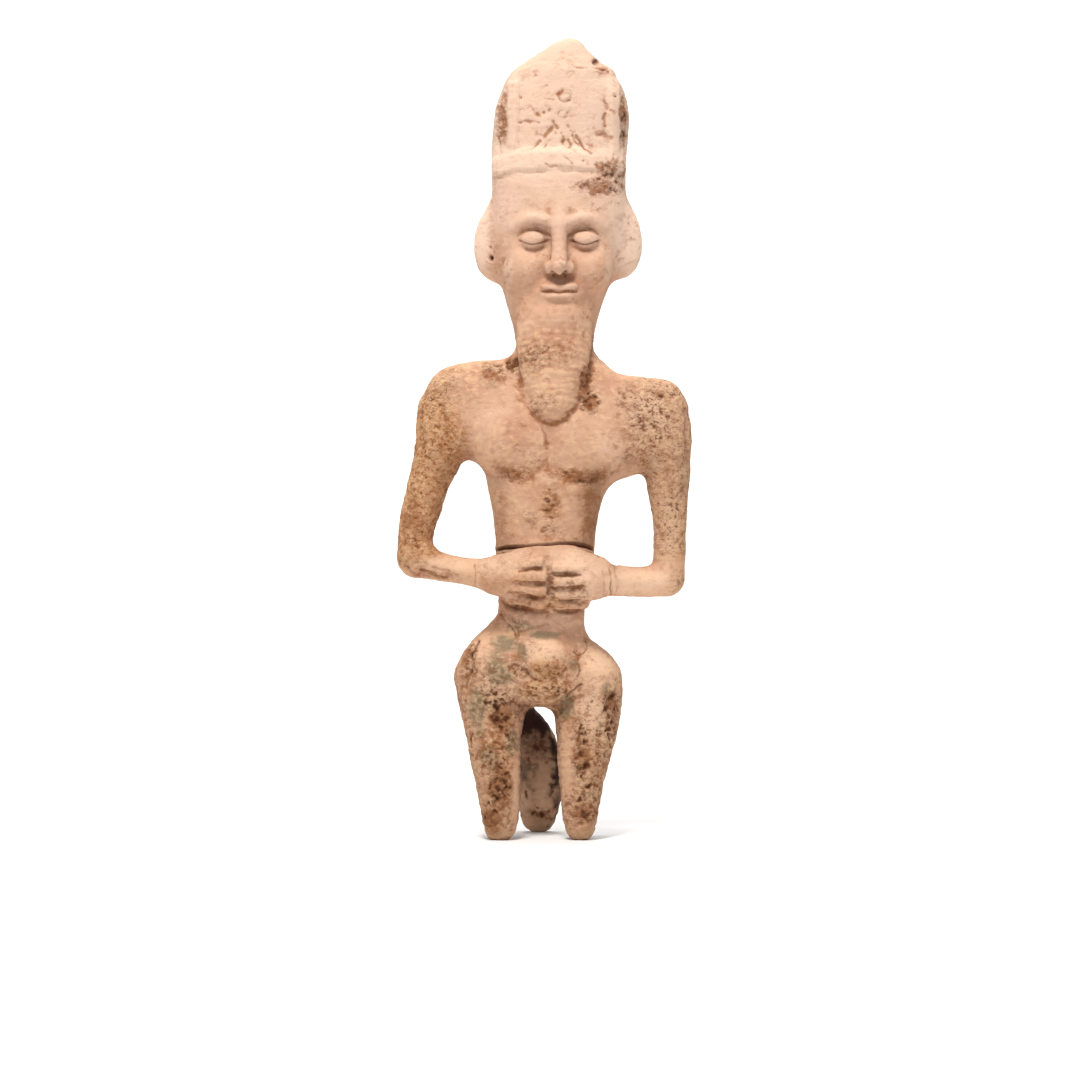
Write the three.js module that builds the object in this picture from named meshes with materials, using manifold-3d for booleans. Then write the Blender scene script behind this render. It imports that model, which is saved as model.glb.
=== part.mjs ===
// A solid fired-clay figurine of a standing bearded man in a tall peaked cap.
// One piece of clay: a flat slab-like body, arms bent so that both hands meet over the waist, wide hips on two
// tapering legs without feet, and a third leg behind them, rolled from a strip of clay and pressed on under the
// right buttock. Millimetres, +Z up, the figure faces -Y and stands on z = 0.
// Left and right in the names are those seen from the front: left is -X.
import * as THREE from "three";
import { mergeVertices } from "three/addons/utils/BufferGeometryUtils.js";
import Module from "manifold-3d";

const wasm = await Module();
wasm.setup();

// ---------------------------------------------------------------- named sizes
const HEIGHT = 399.5; // sole to tip of the cap

// The trunk from crotch to cap, as horizontal sections: the two side edges, and how far front and back stand from y = 0.
const TRUNK = {
  crotch: { z: 66.4, left: -12.0, right: 10.0, front: 7, back: 12 },
  groin: { z: 69.5, left: -31.0, right: 28.0, front: 13.5, back: 20 },
  hip: { z: 75.0, left: -41.0, right: 36.4, front: 18, back: 26 },
  buttock: { z: 82.3, left: -43.4, right: 37.0, front: 19.5, back: 28 },
  iliac: { z: 91.3, left: -39.9, right: 31.4, front: 18.5, back: 25 },
  flank: { z: 99.3, left: -34.9, right: 23.2, front: 16.5, back: 20 },
  loin: { z: 106.2, left: -27.9, right: 20.4, front: 15, back: 16.5 },
  navel: { z: 113.2, left: -22.9, right: 20.4, front: 14.5, back: 15 },
  waist: { z: 131.7, left: -23.4, right: 23.9, front: 14, back: 14.5 },
  ribs: { z: 157.1, left: -24.9, right: 26.4, front: 14.5, back: 15 },
  lowChest: { z: 169.1, left: -26.9, right: 29.4, front: 15.5, back: 16 },
  breast: { z: 181.0, left: -29.4, right: 35.9, front: 17, back: 17 },
  chest: { z: 194.0, left: -34.4, right: 41.9, front: 18, back: 18 },
  collar: { z: 218.9, left: -28.9, right: 37.9, front: 17, back: 17 },
  neckRoot: { z: 231.4, left: -20.4, right: 31.9, front: 14.5, back: 15.5 },
  neck: { z: 246.4, left: -14.0, right: 24.4, front: 13.5, back: 14.5 },
  jaw: { z: 262.0, left: -17.4, right: 27.6, front: 17.5, back: 17 },
  cheek: { z: 284.0, left: -23.6, right: 36.4, front: 20.5, back: 20 },
  temple: { z: 311.2, left: -25.4, right: 40.4, front: 21.5, back: 22 },
  brim: { z: 332.7, left: -26.4, right: 40.9, front: 21.5, back: 22.5 },
  capWide: { z: 359.6, left: -24.9, right: 42.4, front: 19, back: 20.5 },
  capHigh: { z: 371.1, left: -21.9, right: 40.4, front: 17, back: 18.5 },
  capShoulder: { z: 381.5, left: -16.5, right: 34.9, front: 14.5, back: 15.5 },
  peakBase: { z: 388.5, left: -8.0, right: 27.4, front: 11, back: 11.5 },
  peakMid: { z: 394.5, left: 1.0, right: 20.9, front: 7.5, back: 8 },
  peakTop: { z: 398.0, left: 6.5, right: 17.0, front: 4, back: 4 },
};
const TRUNK_SQUARENESS = 2.35; // exponent of the rounded section, 2 is an ellipse

// The shoulders, as upright sections across the chest: top and bottom edge, and half the thickness.
const YOKE = {
  leftTip: { x: -62.8, top: 208.4, bottom: 198.6, deep: 5 },
  leftRound: { x: -61.2, top: 216.5, bottom: 192.5, deep: 9 },
  leftCap: { x: -58.4, top: 225.9, bottom: 188.0, deep: 11.5 },
  leftPoint: { x: -53.4, top: 231.9, bottom: 188.0, deep: 13.5 },
  leftShoulder: { x: -46.9, top: 235.4, bottom: 189.0, deep: 14.5 },
  leftCollar: { x: -35.4, top: 237.9, bottom: 189.0, deep: 15.5 },
  leftNeck: { x: -17.0, top: 239.0, bottom: 186.5, deep: 16.5 },
  rightNeck: { x: 23.0, top: 238.0, bottom: 181.5, deep: 16.5 },
  rightCollar: { x: 37.4, top: 231.9, bottom: 180.0, deep: 15.5 },
  rightShoulder: { x: 52.9, top: 229.7, bottom: 183.0, deep: 14.5 },
  rightPoint: { x: 61.8, top: 227.7, bottom: 183.0, deep: 13 },
  rightCap: { x: 67.8, top: 223.2, bottom: 184.0, deep: 11 },
  rightRound: { x: 71.3, top: 216.0, bottom: 190.0, deep: 8.5 },
  rightTip: { x: 73.1, top: 206.5, bottom: 196.5, deep: 5 },
};

// Limbs: centre line with a radius across it and a depth factor for its thickness front to back.
const UPPER_ARM_LEFT = [
  { x: -51.9, y: 1, z: 214, r: 11.0 },
  { x: -53.1, y: 1.5, z: 191.5, r: 12.0 },
  { x: -54.1, y: 2, z: 187.0, r: 12.2 },
  { x: -57.6, y: 2.5, z: 178.0, r: 10.2 },
  { x: -59.9, y: 2.5, z: 169.0, r: 9.5 },
  { x: -62.6, y: 2, z: 160.1, r: 9.2 },
  { x: -64.4, y: 1, z: 149.0, r: 8.6 },
  { x: -64.6, y: 0, z: 140.1, r: 8.7 },
];
const FOREARM_LEFT = [
  { x: -63.8, y: 0, z: 138.1, r: 8.3 },
  { x: -53.9, y: -3.5, z: 135.9, r: 7.5 },
  { x: -43.4, y: -8, z: 133.7, r: 6.8 },
  { x: -34.4, y: -12, z: 131.9, r: 7.2 },
  { x: -25.9, y: -15.5, z: 130.7, r: 8.5 },
];
const UPPER_ARM_RIGHT = [
  { x: 59.9, y: 1, z: 214, r: 11.8 },
  { x: 61.8, y: 1.5, z: 191.5, r: 11.7 },
  { x: 61.8, y: 2, z: 181.0, r: 11.0 },
  { x: 62.3, y: 2.5, z: 169.1, r: 9.5 },
  { x: 62.8, y: 2.5, z: 160.1, r: 8.5 },
  { x: 62.8, y: 2, z: 151.1, r: 8.0 },
  { x: 62.6, y: 1, z: 142.1, r: 8.0 },
  { x: 62.1, y: 0, z: 133.2, r: 8.2 },
];
const FOREARM_RIGHT = [
  { x: 60.8, y: 0, z: 127.7, r: 8.2 },
  { x: 50.4, y: -3.5, z: 127.2, r: 8.0 },
  { x: 40.4, y: -8, z: 127.4, r: 7.9 },
  { x: 31.4, y: -12, z: 127.4, r: 8.5 },
  { x: 23.9, y: -15.5, z: 128.7, r: 9.8 },
];
const ARM_DEPTH = 1.08;

const LEG_LEFT = [
  { x: -23.6, y: 4, z: 82.5, r: 16.6, deep: 18.0 },
  { x: -24.9, y: 3, z: 77.0, r: 18.6, deep: 20.0 },
  { x: -25.4, y: 1, z: 64.3, r: 16.2, deep: 18.0 },
  { x: -25.2, y: -2, z: 52.0, r: 13.8, deep: 15.4 },
  { x: -24.1, y: -5.5, z: 39.4, r: 12.3, deep: 13.2 },
  { x: -22.7, y: -9, z: 24.4, r: 10.6, deep: 11.2 },
  { x: -21.7, y: -11.5, z: 12.0, r: 9.1, deep: 9.6 },
  { x: -21.6, y: -12.5, z: 4.6, r: 7.8, deep: 8.4 },
];
const LEG_RIGHT = [
  { x: 18.0, y: 4, z: 82.5, r: 15.4, deep: 17.5 },
  { x: 20.4, y: 3, z: 77.0, r: 18.0, deep: 20.0 },
  { x: 21.9, y: 1, z: 64.3, r: 16.8, deep: 18.0 },
  { x: 21.2, y: -2, z: 53.0, r: 15.2, deep: 15.6 },
  { x: 20.0, y: -5.5, z: 41.0, r: 13.1, deep: 13.4 },
  { x: 18.6, y: -9, z: 25.0, r: 10.5, deep: 11.2 },
  { x: 18.0, y: -11.5, z: 12.0, r: 8.9, deep: 9.4 },
  { x: 18.1, y: -12.5, z: 4.8, r: 7.3, deep: 8.2 },
];
// The third leg: straight up from the ground, then over to the left and forward into the buttock.
const BACK_LEG = [
  { x: -19.5, y: 15, z: 76.0, r: 11.0, deep: 9.0 },
  { x: -16.5, y: 22, z: 66.0, r: 10.2, deep: 8.6 },
  { x: -12.3, y: 29, z: 57.5, r: 9.6, deep: 8.2 },
  { x: -7.0, y: 33.5, z: 51.0, r: 9.8, deep: 8.0 },
  { x: -3.4, y: 36, z: 44.0, r: 10.4, deep: 8.0 },
  { x: -2.4, y: 38.5, z: 31.0, r: 10.8, deep: 8.0 },
  { x: -2.3, y: 40.5, z: 17.0, r: 10.7, deep: 7.9 },
  { x: -3.0, y: 41.5, z: 5.4, r: 8.6, deep: 7.0 },
];
const LEG_END = 5.4; // length of the rounded end below the last section

// The beard: a tapering strip over throat and breast.
const BEARD = [
  { x: 5.5, y: -6, z: 272.0, r: 15.0, deep: 9.0 },
  { x: 5.2, y: -9.5, z: 260.0, r: 19.0, deep: 11.5 },
  { x: 4.9, y: -11.5, z: 246.4, r: 18.6, deep: 12.0 },
  { x: 4.5, y: -13.5, z: 231.4, r: 16.8, deep: 12.0 },
  { x: 4.3, y: -15.5, z: 222.9, r: 14.0, deep: 11.5 },
  { x: 4.2, y: -17, z: 214.4, r: 9.8, deep: 9.5 },
];
const BEARD_END = 4.2;
const BEARD_RIBS = { count: 5, height: 0.055 }; // grooves across it, as a share of its thickness

// Two ears like upright discs, and the boss on the lower belly.
const EAR_LEFT = { x: -23.4, y: 2, z: 297.3, wide: 10.8, deep: 6.0, high: 19.5 };
const EAR_RIGHT = { x: 37.4, y: 2, z: 297.3, wide: 10.9, deep: 6.0, high: 19.5 };
const LOBE_HOLE = { x: -27.2, z: 289.3, radius: 1.3 };
const BOSS = { x: 1.5, y: -13.5, z: 87.3, wide: 10.8, deep: 12.0, high: 10.3 };

// Flat breasts, and the buttocks behind.
const BREAST_LEFT = { x: -17.0, y: -10.2, z: 199.0, wide: 19.0, deep: 8.8, high: 18.0 };
const BREAST_RIGHT = { x: 21.5, y: -10.2, z: 198.0, wide: 20.5, deep: 8.8, high: 18.5 };
const BUTTOCK_LEFT = { x: -20.5, y: 13, z: 80.0, wide: 19.8, deep: 17.5, high: 17.0 };
const BUTTOCK_RIGHT = { x: 14.5, y: 13, z: 80.0, wide: 18.8, deep: 17.5, high: 17.0 };

// The cap: a rolled brim, two upright bands that frame the front, and worn strokes cut between them.
const CAP = { bandLeft: -15.9, bandRight: 34.8, bandLow: 342, bandHigh: 374, bandWide: 2.4, bandHeight: 1.4 };
const BRIM = { z: 337.0, left: -24.5, right: 39.0, sag: 3.0, wide: 4.6, height: 1.3 };
const FAN = { x: 8.5, z: 357.0, start: 3.5, reach: 16.0, spread: 0.85, strokes: 5, depth: 0.9, wide: 1.2 };
const RING = { x: 9.5, z: 368.8, radius: 2.3, groove: 0.7 };
const PITS = { left: -11.5, right: -1.0, z: 358.0, rise: 3.5, count: 4, radius: 1.0 };

// The hands: a lens-shaped swelling before the waist, and four finger ridges on each half.
const HANDS = { x: 2.2, y: -15.5, z: 130.4, wide: 29.5, deep: 12.5, high: 16.6 };
const FINGER = { radius: 3.3, pitch: 7.0, length: 18, rows: 4, meet: 1.3 };
const BRACELET = { x: 31.0, gap: 3.6, y: -12.2, z: 127.4, across: 8.3, radius: 1.2, count: 2 };

// The face, on plain thirds: from brim to brow, to the base of the nose, to the chin.
const FACE = { x: 7.5, brim: 330, third: 25, surface: -21.3 };
const EYE_WIDTH = 12.8; // a fifth of the face's breadth

// ---------------------------------------------------------------- helpers
// Monotone cubic through the values of one key of the stations, against another key.
function through(stations, along, key) {
  const s = [...stations].sort((p, q) => p[along] - q[along]);
  const x = s.map((p) => p[along]),
    y = s.map((p) => p[key]),
    n = x.length;
  const h = [],
    d = [];
  for (let i = 0; i < n - 1; i++) {
    h.push(x[i + 1] - x[i]);
    d.push((y[i + 1] - y[i]) / h[i]);
  }
  const m = [d[0]];
  for (let i = 1; i < n - 1; i++) {
    if (d[i - 1] * d[i] <= 0) m.push(0);
    else {
      const w1 = 2 * h[i] + h[i - 1],
        w2 = h[i] + 2 * h[i - 1];
      m.push((w1 + w2) / (w1 / d[i - 1] + w2 / d[i]));
    }
  }
  m.push(d[n - 2]);
  return (v) => {
    const t = Math.min(Math.max(v, x[0]), x[n - 1]);
    let i = 0;
    while (i < n - 2 && t > x[i + 1]) i++;
    const u = (t - x[i]) / h[i];
    return (
      y[i] * (1 + 2 * u) * (1 - u) ** 2 +
      h[i] * m[i] * u * (1 - u) ** 2 +
      y[i + 1] * u * u * (3 - 2 * u) +
      h[i] * m[i + 1] * u * u * (u - 1)
    );
  };
}

// A closed skin of rings: a sphere whose rows of vertices are moved to point(ring, angle).
function skin(around, rings, point) {
  const g = new THREE.SphereGeometry(1, around, rings);
  const p = g.getAttribute("position"),
    row = around + 1;
  for (let i = 0; i < p.count; i++) {
    const ring = Math.floor(i / row),
      turn = ((i % row) % around) / around;
    const v = point(ring, turn * 2 * Math.PI);
    p.setXYZ(i, v.x, v.y, v.z);
  }
  g.deleteAttribute("normal");
  g.deleteAttribute("uv");
  return g;
}

function solid(geometry) {
  const g = geometry.clone();
  for (const name of ["normal", "uv"])
    if (g.getAttribute(name)) g.deleteAttribute(name);
  const merged = mergeVertices(g, 1e-4);
  const made = new wasm.Manifold(
    new wasm.Mesh({
      numProp: 3,
      vertProperties: new Float32Array(merged.getAttribute("position").array),
      triVerts: new Uint32Array(merged.index.array),
    }),
  );
  if (made.volume() > 0) return made;
  const turned = new Uint32Array(merged.index.array);
  for (let i = 0; i < turned.length; i += 3)
    [turned[i + 1], turned[i + 2]] = [turned[i + 2], turned[i + 1]];
  return new wasm.Manifold(
    new wasm.Mesh({
      numProp: 3,
      vertProperties: new Float32Array(merged.getAttribute("position").array),
      triVerts: turned,
    }),
  );
}

const rounded = (c, squareness) =>
  Math.sign(c) * Math.abs(c) ** (2 / squareness);

// A limb through its stations, with rounded ends, `first` and `last` long. `ribs` ripple its thickness.
function limb(stations, around, along, first, last, { depthFactor = 1, caps = 3, ribs } = {}) {
  const s = stations.map((p, i) => ({ ...p, i, deep: p.deep ?? p.r * depthFactor }));
  const curve = new THREE.CatmullRomCurve3(
    s.map((p) => new THREE.Vector3(p.x, p.y, p.z)),
    false,
    "centripetal",
  );
  const across = through(s, "i", "r"),
    deep = through(s, "i", "deep"),
    end = s.length - 1,
    rings = along + 2 * caps;
  return solid(
    skin(around, rings, (ring, a) => {
      const over = Math.max(caps - ring, ring - rings + caps, 0) / caps; // 0 on the limb, 1 at a tip
      const t = Math.min(Math.max((ring - caps) / along, 0), 1);
      const shrink = over === 1 ? 0 : Math.cos((over * Math.PI) / 2);
      const push = Math.sin((over * Math.PI) / 2) * (t === 0 ? -first : last);
      const c = curve.getPoint(t),
        ahead = curve.getTangent(t);
      const v = new THREE.Vector3(0, 1, 0);
      v.addScaledVector(ahead, -v.dot(ahead)).normalize();
      const u = new THREE.Vector3().crossVectors(v, ahead);
      const ripple = ribs && over === 0 ? 1 - ribs.height * Math.cos(2 * Math.PI * ribs.count * t) : 1;
      return c
        .addScaledVector(ahead, push)
        .addScaledVector(u, shrink * across(t * end) * Math.cos(a))
        .addScaledVector(v, shrink * ripple * deep(t * end) * Math.sin(a));
    }),
  );
}

function blob({ x, y, z, wide, deep, high }, around = 16, rings = 10) {
  const g = new THREE.SphereGeometry(1, around, rings);
  g.rotateX(Math.PI / 2);
  g.scale(wide, deep, high);
  g.translate(x, y, z);
  return solid(g);
}

// ---------------------------------------------------------------- trunk and shoulders
const trunkLevels = Object.values(TRUNK);
const side = Object.fromEntries(
  ["left", "right", "front", "back"].map((k) => [k, through(trunkLevels, "z", k)]),
);
const TRUNK_RINGS = 35,
  zLow = TRUNK.crotch.z,
  zHigh = TRUNK.peakTop.z;
const trunk = solid(
  skin(22, TRUNK_RINGS, (ring, a) => {
    const tip = ring === 0 || ring === TRUNK_RINGS;
    const share = (ring - 1) / (TRUNK_RINGS - 2);
    const eased = 0.6 * share + 0.2 * (1 - Math.cos(share * Math.PI)); // closer rings at both ends
    const z = ring === 0 ? HEIGHT : tip ? zLow - 0.8 : zHigh - (zHigh - zLow) * eased;
    const l = side.left(z),
      r = side.right(z),
      c = rounded(Math.cos(a), TRUNK_SQUARENESS),
      s = rounded(Math.sin(a), TRUNK_SQUARENESS);
    return new THREE.Vector3(
      (l + r) / 2 + (tip ? 0 : (c * (r - l)) / 2),
      tip ? 0 : s * (s < 0 ? side.front(z) : side.back(z)),
      z,
    );
  }),
);
// The y of the front skin of the trunk at x, z.
function skinAt(x, z) {
  const l = side.left(z),
    r = side.right(z);
  const u = Math.min(Math.abs((2 * x - l - r) / (r - l)), 1);
  return -side.front(z) * (1 - u ** TRUNK_SQUARENESS) ** (1 / TRUNK_SQUARENESS);
}

const yokeLevels = Object.values(YOKE);
const edge = Object.fromEntries(
  ["top", "bottom", "deep"].map((k) => [k, through(yokeLevels, "x", k)]),
);
const YOKE_RINGS = 20,
  xLow = YOKE.leftTip.x,
  xHigh = YOKE.rightTip.x;
const yoke = solid(
  skin(14, YOKE_RINGS, (ring, a) => {
    const tip = ring === 0 || ring === YOKE_RINGS;
    const share = Math.min(Math.max((ring - 1) / (YOKE_RINGS - 2), 0), 1);
    const x =
      (xLow + xHigh - (xHigh - xLow) * Math.cos(share * Math.PI)) / 2 +
      (tip ? (ring === 0 ? -0.6 : 0.6) : 0);
    const top = edge.top(x),
      bottom = edge.bottom(x);
    return new THREE.Vector3(
      x,
      tip ? 0 : rounded(Math.sin(a), 2.2) * edge.deep(x),
      (top + bottom) / 2 + (tip ? 0 : (rounded(Math.cos(a), 2.2) * (top - bottom)) / 2),
    );
  }),
);

// ---------------------------------------------------------------- what is pressed on
const arm = { depthFactor: ARM_DEPTH };
const added = [
  yoke,
  limb(UPPER_ARM_LEFT, 11, 9, 8, 8.7, arm),
  limb(FOREARM_LEFT, 11, 6, 8, 6, arm),
  limb(UPPER_ARM_RIGHT, 11, 9, 8, 8.2, arm),
  limb(FOREARM_RIGHT, 11, 6, 8, 6, arm),
  limb(LEG_LEFT, 13, 10, 8, LEG_END),
  limb(LEG_RIGHT, 13, 10, 8, LEG_END),
  limb(BACK_LEG, 10, 11, 4, LEG_END + 1),
  limb(BEARD, 12, 4 * BEARD_RIBS.count, 7, BEARD_END, { ribs: BEARD_RIBS }),
  blob(EAR_LEFT, 10, 10),
  blob(EAR_RIGHT, 10, 10),
  blob(BREAST_LEFT, 14, 8),
  blob(BREAST_RIGHT, 14, 8),
  blob(BUTTOCK_LEFT, 12, 8),
  blob(BUTTOCK_RIGHT, 12, 8),
  blob(BOSS, 14, 10),
  blob(HANDS, 16, 9),
];
const cut = [];

// Fingers: four ridges on each hand, pointing to the middle.
const handFront = (x, z) =>
  HANDS.y -
  HANDS.deep *
    Math.sqrt(
      Math.max(0.05, 1 - ((z - HANDS.z) / HANDS.high) ** 2 - ((x - HANDS.x) / HANDS.wide) ** 2),
    );
for (const way of [-1, 1])
  for (let row = 0; row < FINGER.rows; row++) {
    const z = HANDS.z + ((FINGER.rows - 1) / 2 - row) * FINGER.pitch;
    const tip = HANDS.x + way * (FINGER.meet + FINGER.radius);
    const at = (x, lift, size) => ({
      x,
      y: handFront(x, z) + 0.4 * FINGER.radius,
      z: z + lift,
      r: FINGER.radius * size,
    });
    added.push(
      limb(
        [
          at(tip + way * FINGER.length, -0.6, 0.85),
          at(tip + (way * FINGER.length) / 2, 0, 1),
          at(tip, 0, 0.92),
        ],
        6,
        2,
        2.4,
        FINGER.radius * 0.8,
        { caps: 2 },
      ),
    );
  }

// Two rings of clay round the right wrist.
for (let i = 0; i < BRACELET.count; i++) {
  const g = new THREE.TorusGeometry(BRACELET.across, BRACELET.radius, 4, 10);
  g.rotateY(Math.PI / 2);
  g.scale(1, ARM_DEPTH, 1);
  g.translate(BRACELET.x + i * BRACELET.gap, BRACELET.y + i * 1.4, BRACELET.z);
  added.push(solid(g));
}

// The cap's bands and brim, laid on the skin of the head.
const onSkin = (x, z, wide, height) => ({ x, y: skinAt(x, z) + 0.6, z, r: wide, deep: height + 0.6 });
for (const x of [CAP.bandLeft, CAP.bandRight]) {
  const stations = [];
  for (let i = 0; i <= 4; i++) {
    const z = CAP.bandLow + ((CAP.bandHigh - CAP.bandLow) * i) / 4;
    const inward = 0.12 * (z - CAP.bandLow) * (i / 4) * Math.sign(FACE.x - x);
    stations.push(onSkin(x + inward, z, CAP.bandWide, CAP.bandHeight));
  }
  added.push(limb(stations, 6, 5, 3, 3, { caps: 2 }));
}
const brim = [];
for (let i = 0; i <= 8; i++) {
  const u = (i / 8) * 2 - 1,
    x = (BRIM.left + BRIM.right + u * (BRIM.right - BRIM.left)) / 2;
  const on = onSkin(x, BRIM.z - BRIM.sag * u * u, BRIM.wide, BRIM.height);
  brim.push(on);
}
added.push(limb(brim, 6, 10, 2, 2, { caps: 2 }));

// Worn ornament cut into the panel: a fan of strokes, a ring and a row of pits.
for (let i = 0; i < FAN.strokes; i++) {
  const turn = FAN.spread * ((2 * i) / (FAN.strokes - 1) - 1),
    middle = (FAN.start + FAN.reach) / 2;
  const x = FAN.x + Math.sin(turn) * middle,
    z = FAN.z - Math.cos(turn) * middle;
  const g = new THREE.BoxGeometry(FAN.wide, 2 * FAN.depth, FAN.reach - FAN.start);
  g.rotateY(-turn);
  g.translate(x, skinAt(x, z), z);
  cut.push(solid(g));
}
const ring = new THREE.TorusGeometry(RING.radius, RING.groove, 4, 8);
ring.rotateX(Math.PI / 2);
ring.translate(RING.x, skinAt(RING.x, RING.z), RING.z);
cut.push(solid(ring));
for (let i = 0; i < PITS.count; i++) {
  const u = i / (PITS.count - 1),
    x = PITS.left + u * (PITS.right - PITS.left),
    z = PITS.z + u * PITS.rise;
  cut.push(blob({ x, y: skinAt(x, z), z, wide: PITS.radius, deep: PITS.radius, high: PITS.radius }, 6, 4));
}

// The pierced lobe of the left ear.
const hole = new THREE.CylinderGeometry(LOBE_HOLE.radius, LOBE_HOLE.radius, 30, 8);
hole.translate(LOBE_HOLE.x, EAR_LEFT.y, LOBE_HOLE.z);
cut.push(solid(hole));

// The face: nose, brows, closed eyes and mouth, set out on the thirds.
const brow = FACE.brim - FACE.third,
  noseBase = brow - FACE.third,
  eyeLine = brow - 0.3 * FACE.third,
  mouth = noseBase - FACE.third / 3,
  skinY = FACE.surface;
added.push(
  limb(
    [
      { x: FACE.x, y: skinY + 1.0, z: brow + 1, r: 2.8, deep: 2.6 },
      { x: FACE.x, y: skinY - 1.0, z: (brow + noseBase) / 2 + 2, r: 3.2, deep: 3.6 },
      { x: FACE.x, y: skinY - 2.4, z: noseBase + 4.2, r: EYE_WIDTH * 0.42, deep: 4.8 },
    ],
    8,
    5,
    3,
    3.4,
  ),
  blob({ x: FACE.x, y: skinY + 2.2, z: mouth + 1.7, wide: 8.0, deep: 3.6, high: 1.9 }, 12, 6),
  blob({ x: FACE.x, y: skinY + 2.8, z: mouth - 1.9, wide: 7.0, deep: 3.8, high: 2.2 }, 12, 6),
);
for (const way of [-1, 1]) {
  const x = FACE.x + way * EYE_WIDTH;
  added.push(
    blob({ x, y: skinY + 2.6, z: eyeLine, wide: EYE_WIDTH / 2 + 0.4, deep: 4.4, high: 3.9 }, 10, 8),
    limb(
      [
        { x: FACE.x + way * 3.5, y: skinY + 1.3, z: brow + 0.5, r: 1.9 },
        { x, y: skinY + 1.9, z: brow + 2.6, r: 2.1 },
        { x: FACE.x + way * 20.5, y: skinY + 6.2, z: brow - 0.8, r: 1.8 },
      ],
      6,
      5,
      2,
      2,
      { caps: 2 },
    ),
  );
}

let clay = trunk;
for (const piece of added) clay = clay.add(piece);
for (const piece of cut) clay = clay.subtract(piece);

// Where it stands: the leg ends are worn flat on the ground.
const ground = solid(new THREE.BoxGeometry(300, 300, 40).translate(0, 0, -20));
clay = clay.subtract(ground);

// ---------------------------------------------------------------- the mesh
function geometryOf(made) {
  const mesh = made.getMesh(),
    n = mesh.numProp;
  const v = new Float32Array((mesh.vertProperties.length / n) * 3);
  for (let i = 0; i < v.length / 3; i++) v.set(mesh.vertProperties.subarray(i * n, i * n + 3), i * 3);
  const g = new THREE.BufferGeometry();
  g.setAttribute("position", new THREE.BufferAttribute(v, 3));
  g.setIndex(new THREE.BufferAttribute(mesh.triVerts, 1));
  g.computeVertexNormals();
  return g;
}

const geometry = geometryOf(clay);
geometry.computeBoundingBox();
const middle = geometry.boundingBox.getCenter(new THREE.Vector3());
geometry.translate(-middle.x, -middle.y, 0); // origin under the middle of the figure

const clayMaterial = new THREE.MeshStandardMaterial({
  color: 0xc9a184,
  roughness: 0.92,
  metalness: 0,
});
const figurine = new THREE.Mesh(geometry, clayMaterial);
figurine.name = "figurine";

const group = new THREE.Group();
group.add(figurine);
export default group;
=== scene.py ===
import math

import bpy
import numpy as np
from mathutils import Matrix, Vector


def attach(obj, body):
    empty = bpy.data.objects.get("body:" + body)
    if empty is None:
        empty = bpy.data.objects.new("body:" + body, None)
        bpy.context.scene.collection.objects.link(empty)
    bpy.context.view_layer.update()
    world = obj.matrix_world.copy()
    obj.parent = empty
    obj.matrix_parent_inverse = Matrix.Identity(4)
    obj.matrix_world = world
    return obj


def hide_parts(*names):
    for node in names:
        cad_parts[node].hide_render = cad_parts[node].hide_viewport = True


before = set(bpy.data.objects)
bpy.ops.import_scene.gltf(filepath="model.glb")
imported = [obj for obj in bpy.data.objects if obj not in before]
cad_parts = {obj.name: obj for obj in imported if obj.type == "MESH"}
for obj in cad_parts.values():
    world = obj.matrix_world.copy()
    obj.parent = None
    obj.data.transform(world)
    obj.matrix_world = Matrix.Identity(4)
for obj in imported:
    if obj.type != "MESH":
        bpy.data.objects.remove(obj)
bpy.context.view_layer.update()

F = np.float32

# ---------------------------------------------------------------------------
# Frame. The figure is sculpted in millimetres about its own axis and then set
# where its solid stands. Marks on the front are placed on a drawing grid of
# half-millimetre squares, counted from the left edge and from the top.
# ---------------------------------------------------------------------------
STEP = 0.49875
SHIFT = np.array([-0.201, -9.687, 0.0])


def gx(c):
    return (c - 544.0) * STEP


def gz(r):
    return (839.0 - r) * STEP


def pts(*pairs):
    return [(gx(a), gz(b)) for a, b in pairs]


# ---------------------------------------------------------------------------
# Named sizes, the same as the solid's
# ---------------------------------------------------------------------------
# z, left edge, right edge, depth to the front, depth to the back
TRUNK = [
    (66.4, -12.0, 10.0, 7.0, 12.0),
    (69.5, -31.0, 28.0, 13.5, 20.0),
    (75.0, -41.0, 36.4, 18.0, 26.0),
    (82.3, -43.4, 37.0, 19.5, 28.0),
    (91.3, -39.9, 31.4, 18.5, 25.0),
    (99.3, -34.9, 23.2, 16.5, 20.0),
    (106.2, -27.9, 20.4, 15.0, 16.5),
    (113.2, -22.9, 20.4, 14.5, 15.0),
    (131.7, -23.4, 23.9, 14.0, 14.5),
    (157.1, -24.9, 26.4, 14.5, 15.0),
    (169.1, -26.9, 29.4, 15.5, 16.0),
    (181.0, -29.4, 35.9, 17.0, 17.0),
    (194.0, -34.4, 41.9, 18.0, 18.0),
    (218.9, -28.9, 37.9, 17.0, 17.0),
    (231.4, -20.4, 31.9, 14.5, 15.5),
    (246.4, -14.0, 24.4, 13.5, 14.5),
    (262.0, -17.4, 27.6, 17.5, 17.0),
    (284.0, -22.6, 35.4, 20.5, 20.0),
    (311.2, -25.4, 40.4, 21.5, 22.0),
    (332.7, -26.4, 40.9, 21.5, 22.5),
    (359.6, -24.9, 42.4, 19.0, 20.5),
    (371.1, -21.9, 40.4, 17.0, 18.5),
    (381.5, -16.5, 34.9, 14.5, 15.5),
    (388.5, -8.0, 27.4, 11.0, 11.5),
    (394.5, 1.0, 20.9, 7.5, 8.0),
    (397.3, 5.5, 18.6, 5.0, 5.2),
    (398.8, 9.0, 15.6, 2.4, 2.5),
    (399.4, 11.6, 13.2, 0.7, 0.7),
]
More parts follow.
